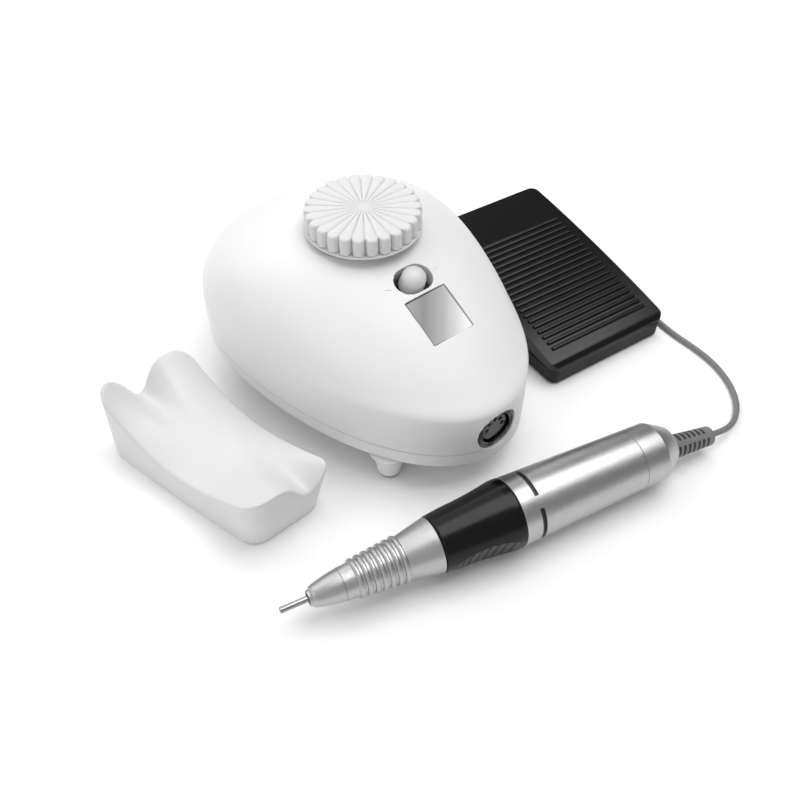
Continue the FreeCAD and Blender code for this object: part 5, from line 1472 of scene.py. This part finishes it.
class RestForm:
    """Walls that lean out from foot to rim, under a top that sweeps up to two notched ends."""

    WALL_TOP = 44.0
    WAIST = 20.8
    CAMBER = 2.6
    CORNER_STEPS = 8
    END_STEPS = 12
    SIDE_STEPS = 30
    SOFTNESS = 2.5
    FOOT = {"waist": 20.4, "corner": 8.0, "front": (17.6, 41.5), "back": (22.5, 45.5)}

    def __init__(self, context):
        sizes = Sizes(context, "drill_rest")
        self.sizes = sizes
        self.rim = {
            "waist": self.WAIST,
            "corner": 6.5,
            "front": (21.0, sizes.front_reach),
            "back": (22.5, sizes.back_reach),
        }

    def height(self, x, y):
        sizes = self.sizes
        across = x / self.WAIST
        waist = sizes.middle_height - self.CAMBER * across**2
        if y < 0:
            share = -y / sizes.front_reach
            top, sweep, tilt = sizes.front_height, 1.7, 3.6
            notch = sizes.front_notch * math.exp(-(((x - 8.0) / 7.4) ** 2))
        else:
            share = y / sizes.back_reach
            top, sweep, tilt = sizes.back_height, 2.2, 3.8
            notch = sizes.back_notch * math.exp(-(((x + 3.0) / 6.5) ** 2))
        return waist + (top - waist) * share**sweep - notch * share**3 - tilt * across * share**2

    def outline(self, form):
        """Plan of the foot or the rim: round corners, straight ends and bowed sides."""
        arcs = []
        for facing, end in ((-1, "front"), (1, "back")):
            half, reach = form[end]
            skew = 0.1 if end == "front" else 0.0
            for side in (facing, -facing):
                arc = []
                for step in range(self.CORNER_STEPS + 1):
                    angle = math.pi / 2 * step / self.CORNER_STEPS
                    x = half - form["corner"] * (1 - math.cos(angle))
                    y = reach - form["corner"] * (1 - math.sin(angle))
                    arc.append(Vector((side * x, facing * (y + skew * side * x))))
                arcs.append(arc if side == facing else arc[::-1])
        spots = []
        for index, arc in enumerate(arcs):
            start, end = arc[-1], arcs[(index + 1) % 4][0]
            spots += arc[:-1]
            if index % 2:
                middle = Vector((math.copysign(form["waist"], start.x), 0))
                spots += bowed(start, middle, end, self.SIDE_STEPS)
            else:
                spots += [start.lerp(end, step / self.END_STEPS) for step in range(self.END_STEPS)]
        return spots


def bowed(start, middle, end, steps):
    """Points on the parabola from start through middle towards end."""
    share = (middle - start).dot(end - start) / (end - start).length_squared
    bow = (middle - start.lerp(end, share)) / (4 * share * (1 - share))
    shares = [step / steps for step in range(steps)]
    return [start.lerp(end, part) + bow * 4 * part * (1 - part) for part in shares]


def build_rest(context):
    """Turned blank whose rings are laid on the wall and on the top of the rest."""
    form = RestForm(context)
    foot = form.outline(form.FOOT)
    rim = form.outline(form.rim)
    count = len(foot)
    wall_levels = (0.0, 0.06, 0.35, 0.65, 0.86)
    top_shares = (0.88, 0.78, 0.67, 0.55, 0.43, 0.31, 0.2, 0.1, 0.0)
    profile = [(0.0, 0.0), (0.5, 0.0), (0.93, 0.0)]
    profile += [(1.0, 10.0 + level) for level in wall_levels] + [(1.0, 11.0), (1.0, 12.0)]
    profile += [(share, 13.0) for share in top_shares]
    blank = turned(profile, count)
    for vert in blank.verts:
        angle = math.atan2(vert.co.y, vert.co.x) % math.tau
        index = round(angle / math.tau * count) % count
        share = math.hypot(vert.co.x, vert.co.y)
        low = foot[index]
        high = rim[index]
        top = form.sizes.middle_height
        for _ in range(12):
            edge = low.lerp(high, top / form.WALL_TOP)
            top = form.height(edge.x, edge.y)
        if vert.co.z < 5.0:
            vert.co = Vector((low.x * share, low.y * share, 0.0))
        elif vert.co.z < 11.5:
            level = vert.co.z - 10.0
            spot = low.lerp(high, top * level / form.WALL_TOP)
            vert.co = Vector((spot.x, spot.y, top * level))
        else:
            share *= 1 - form.SOFTNESS / edge.length
            spot = edge * share
            vert.co = Vector((spot.x, spot.y, form.height(spot.x, spot.y)))
    made = piece(
        "rest_block", blank, REST, "handpiece_rest", "white_rest", ("handpiece_rest",), 180.0, False
    )
    smooth = made.modifiers.new("soft edges", "SUBSURF")
    smooth.levels = 2
    smooth.render_levels = 2


# Foot pedal


def pedal_top(sizes, y):
    """Height of the cover's crowned top, rolled over at its near edge."""
    share = y / sizes.depth
    straight = sizes.near_height + (sizes.far_height - sizes.near_height) * share
    height = straight + 4 * sizes.crown * share * (1 - share)
    roll = 3.2
    if y < roll:
        height -= roll - math.sqrt(max(0.0, roll**2 - (roll - y) ** 2))
    return height


def sliced(bm, stations):
    """Cut a block across its Y axis at each station."""
    for station in stations:
        geometry = bm.verts[:] + bm.edges[:] + bm.faces[:]
        bmesh.ops.bisect_plane(bm, geom=geometry, dist=0.0001, plane_co=(0, station, 0), plane_no=(0, 1, 0))


def wedge(sizes, inset, lower):
    """Block under the crowned top, drawn in from the pedal's outline."""
    block = slab(
        sizes.width - 2 * inset, sizes.depth - 2 * inset, 0, 10, max(1.0, sizes.corner - inset), 6
    )
    put(block, shifted(sizes.width / 2, sizes.depth / 2, 0))
    stations = [0.25, 0.7, 1.2, 1.8, 2.5, 3.2] + [4 + (sizes.depth - 8) * step / 22 for step in range(23)]
    sliced(block, stations)
    for vert in block.verts:
        y = vert.co.y
        share = y / sizes.depth
        if vert.co.z > 5:
            vert.co.z = pedal_top(sizes, y) - lower
        else:
            vert.co.z = 8.2 + (15.4 - 8.2) * share - (2.0 if inset else 0.0)
    return block


def build_pedal_cover(context):
    """Pressed cover: a crowned wedge, hollow below, with rounded cross ribs."""
    sizes = Sizes(context, "drill_pedal")
    outer = wedge(sizes, 0, 0)
    rim = sharp_edges(outer, 50, lambda spot: spot.z > pedal_top(sizes, spot.y) - 0.6)
    round_off(outer, rim, 0.9, 3)
    cover = carved(outer, wedge(sizes, 2.2, 2.2))
    ribs = []
    pitch = (LAST_RIB - FIRST_RIB) / (sizes.ribs - 1)
    for step in range(sizes.ribs):
        y = FIRST_RIB + pitch * step
        rib = bmesh.new()
        bmesh.ops.create_cone(
            rib,
            cap_ends=True,
            segments=20,
            radius1=sizes.rib_width / 2,
            radius2=sizes.rib_width / 2,
            depth=sizes.width - 11.0,
        )
        put(rib, turned_by(90, "Y"))
        round_off(rib, sharp_edges(rib, 60), 0.6, 3)
        bmesh.ops.scale(rib, vec=(1, 1, 2 * sizes.rib_height / sizes.rib_width), verts=rib.verts)
        slope = math.atan2(pedal_top(sizes, y + 1) - pedal_top(sizes, y - 1), 2)
        turn = turned_by(math.degrees(slope), "X")
        ribs.append(put(rib, shifted(sizes.width / 2, y, pedal_top(sizes, y)) @ turn))
    cover = carved(cover, gathered(ribs), "UNION")
    piece("ribbed_cover", cover, PEDAL, "pedal_cover", "black_pedal", ("pedal_cover",), 32.0)


def build_pedal_base(context):
    """Base pan with its outer lip and the inner wall that rises inside the cover."""
    sizes = Sizes(context, "drill_pedal")
    centre = shifted(sizes.width / 2, sizes.depth / 2, 0)
    pan = put(slab(sizes.width - 0.8, sizes.depth - 0.8, 1.0, 7.6, sizes.corner, 6), centre)
    round_off(pan, sharp_edges(pan, 60), 0.4, 2)
    well = put(slab(sizes.width - 3.2, sizes.depth - 3.2, 2.8, 12, 3.4, 6), centre)
    pan = carved(pan, well)
    inner = put(slab(sizes.width - 6.4, sizes.depth - 6.4, 2.0, 20, 2.5, 5), centre)
    for vert in inner.verts:
        if vert.co.z > 10:
            vert.co.z = 9.2 + (17.0 - 9.2) * vert.co.y / sizes.depth
    hollow = put(slab(sizes.width - 9.6, sizes.depth - 9.6, 1.5, 30, 1.5, 4), centre)
    wall = carved(inner, hollow)
    pan = carved(pan, wall, "UNION")
    place = shifted(sizes.width / 2, sizes.depth, GLAND_HEIGHT) @ turned_by(-90, "X")
    pan = carved(pan, put(rod(GLAND_BORE, -12, 3, 32), place))
    piece("base_pan", pan, PEDAL, "pedal_base", "black_pedal_base", ("pedal_base",), 32.0)


def build_pedal_gland(context):
    """Ribbed gland on the pedal's far side."""
    sizes = Sizes(context, "drill_pedal")
    profile = [(1.6, 0), (2.8, 0), (2.8, 8.0)]
    for step in range(5):
        low = 8.6 + step * 1.2
        radius = 2.7 - step * 0.14
        root = radius - 0.45
        profile += [(radius, low), (root, low + 0.1), (root, low + 0.55), (radius, low + 0.65)]
    profile += [(1.95, 14.8), (1.8, 15.0), (1.6, 15.0)]
    place = PEDAL @ shifted(sizes.width / 2, sizes.depth - 8, GLAND_HEIGHT) @ turned_by(-90, "X")
    gland = turned(profile, 40, True)
    piece("pedal_lead_gland", gland, place, "pedal_base", "black_rubber", ("pedal_gland",))


def finish_frame_nodes(context):
    """Finish of every frame node that stays, from the slot that the record gives it."""
    for part in frame["record"]["subparts"]:
        node = frame["nodes"][part["node"]]
        node.data.materials.clear()
        node.data.materials.append(finish(part["material_slot"]))
        node.modifiers.new("weld", "WELD").merge_threshold = 0.002 * MM
        node.modifiers.new("crisp edges", "EDGE_SPLIT").split_angle = math.radians(30)


# Stage

CAMERA_SPOT = (-181.14, -279.97, 297.7)
CAMERA_AIM = (0.4314, 0.5437, -0.7199)
CAMERA_SENSOR = 36.0


def build_floor(context):
    """Sheet of pale studio paper."""
    stage = context.scene.drill_stage
    bm = bmesh.new()
    bmesh.ops.create_grid(bm, x_segments=1, y_segments=1, size=stage.floor_size / 2)
    mesh = bpy.data.meshes.new("studio_floor")
    bm.to_mesh(mesh)
    bm.free()
    floor = bpy.data.objects.new("studio_floor", mesh)
    context.scene.collection.objects.link(floor)
    paper = Finish("studio_paper", stage.floor_colour, 0.7)
    paper.vary_colour(paper.noise(400.0), 0.995)
    paper.set("Specular IOR Level", 0.2)
    mesh.materials.append(paper.material)


def build_light(context, name, power, size, place):
    """Soft square lamp that points at the set."""
    lamp = bpy.data.lights.new(name, "AREA")
    lamp.energy = power
    lamp.size = size
    made = bpy.data.objects.new(name, lamp)
    made.location = place
    made.rotation_mode = "QUATERNION"
    made.rotation_quaternion = (-Vector(place)).to_track_quat("-Z", "Y")
    context.scene.collection.objects.link(made)


def build_lights(context):
    """Even light that falls off towards the right, and four soft lamps."""
    stage = context.scene.drill_stage
    world = bpy.data.worlds.new("studio")
    world.use_nodes = True
    nodes = world.node_tree.nodes
    links = world.node_tree.links
    backdrop = nodes["Background"]
    backdrop.inputs["Strength"].default_value = stage.sky
    direction = nodes.new("ShaderNodeSeparateXYZ")
    links.new(nodes.new("ShaderNodeTexCoord").outputs["Generated"], direction.inputs["Vector"])
    shade = nodes.new("ShaderNodeMapRange")
    shade.inputs["From Min"].default_value = -0.6
    shade.inputs["From Max"].default_value = 0.9
    shade.inputs["To Min"].default_value = 1.5
    shade.inputs["To Max"].default_value = 0.22
    links.new(direction.outputs["X"], shade.inputs["Value"])
    links.new(shade.outputs["Result"], backdrop.inputs["Color"])
    context.scene.world = world
    build_light(context, "top_light", stage.top, 0.9, (0.36, -0.12, 1.15))
    build_light(context, "key_light", stage.key, 1.2, (-0.1, 0.8, 0.95))
    build_light(context, "edge_light", stage.edge, 0.6, (0.56, 1.0, 0.6))
    build_light(context, "fill_light", stage.fill, 0.8, (-1.0, 0.15, 0.75))
    context.scene.view_settings.view_transform = "Standard"


def build_camera(context):
    """Camera at the photograph's viewing angle."""
    camera = bpy.data.cameras.new("camera")
    camera.sensor_width = CAMERA_SENSOR
    camera.lens = CAMERA_SENSOR * context.scene.drill_stage.focal_share
    made = bpy.data.objects.new("camera", camera)
    made.location = at(*CAMERA_SPOT).translation
    made.rotation_mode = "QUATERNION"
    made.rotation_quaternion = Vector(CAMERA_AIM).to_track_quat("-Z", "Y")
    context.scene.collection.objects.link(made)
    context.scene.camera = made


# Operators


class BuildStage(bpy.types.Operator):
    """Make the floor, the lights and the camera"""

    bl_idname = "nail_drill.stage"
    bl_label = "Stage"

    def execute(self, context):
        build_floor(context)
        build_lights(context)
        build_camera(context)
        return {"FINISHED"}


class FinishFrame(bpy.types.Operator):
    """Give every frame node that stays its finish"""

    bl_idname = "nail_drill.frame_nodes"
    bl_label = "Frame Nodes"

    def execute(self, context):
        finish_frame_nodes(context)
        return {"FINISHED"}


class BuildLead(bpy.types.Operator):
    """Lay the handpiece's lead, its coil and its plug"""

    bl_idname = "nail_drill.lead"
    bl_label = "Lead and Plug"

    def execute(self, context):
        build_plug(context)
        build_lead(context)
        return {"FINISHED"}


class BuildHousing(bpy.types.Operator):
    """Mould the housing and the tray, and drive in their screws"""

    bl_idname = "nail_drill.housing"
    bl_label = "Housing and Tray"

    def execute(self, context):
        build_housing(context)
        build_tray(context)
        build_screws(context)
        return {"FINISHED"}


class BuildControls(bpy.types.Operator):
    """Make the speed knob, the direction switch's cap and the display window"""

    bl_idname = "nail_drill.controls"
    bl_label = "Knob, Switch and Display"

    def execute(self, context):
        build_knob(context)
        build_switch_cap(context)
        build_window(context)
        return {"FINISHED"}


class BuildConnectors(bpy.types.Operator):
    """Make the handpiece socket and the rear fittings"""

    bl_idname = "nail_drill.connectors"
    bl_label = "Socket and Rear Fittings"

    def execute(self, context):
        build_socket(context)
        build_rear_fittings(context)
        return {"FINISHED"}


class BuildHandpiece(bpy.types.Operator):
    """Turn the handpiece's sleeves, collar, cap, boot and shank"""

    bl_idname = "nail_drill.handpiece"
    bl_label = "Handpiece"

    def execute(self, context):
        build_nose(context)
        build_grip(context)
        build_collar(context)
        build_sleeve(context)
        build_end_cap(context)
        build_boot(context)
        build_shank(context)
        return {"FINISHED"}


class BuildRest(bpy.types.Operator):
    """Mould the handpiece rest"""

    bl_idname = "nail_drill.rest"
    bl_label = "Handpiece Rest"

    def execute(self, context):
        build_rest(context)
        return {"FINISHED"}


class BuildPedal(bpy.types.Operator):
    """Mould the pedal's cover, base and gland"""

    bl_idname = "nail_drill.pedal"
    bl_label = "Foot Pedal"

    def execute(self, context):
        build_pedal_cover(context)
        build_pedal_base(context)
        build_pedal_gland(context)
        return {"FINISHED"}


OPERATORS = (
    BuildStage,
    BuildLead,
    BuildHousing,
    BuildControls,
    BuildConnectors,
    BuildHandpiece,
    BuildRest,
    BuildPedal,
    FinishFrame,
)


class NailDrillPanel(bpy.types.Panel):
    """Sidebar panel that lists the set's pieces"""

    bl_idname = "VIEW3D_PT_nail_drill"
    bl_label = "Nail Drill Set"
    bl_space_type = "VIEW_3D"
    bl_region_type = "UI"
    bl_category = "Nail Drill"

    def draw(self, context):
        for operator in OPERATORS:
            self.layout.operator(operator.bl_idname)


def register():
    for name, group in GROUPS.items():
        bpy.utils.register_class(group)
        setattr(bpy.types.Scene, name, PointerProperty(type=group))
    for operator in OPERATORS:
        bpy.utils.register_class(operator)
    bpy.utils.register_class(NailDrillPanel)


def unregister():
    bpy.utils.unregister_class(NailDrillPanel)
    for operator in OPERATORS:
        bpy.utils.unregister_class(operator)
    for name, group in GROUPS.items():
        delattr(bpy.types.Scene, name)
        bpy.utils.unregister_class(group)


def main():
    """Build everything in order."""
    register()
    for operator in OPERATORS:
        group, name = operator.bl_idname.split(".")
        getattr(getattr(bpy.ops, group), name)()


if __name__ == "__main__":
    main()
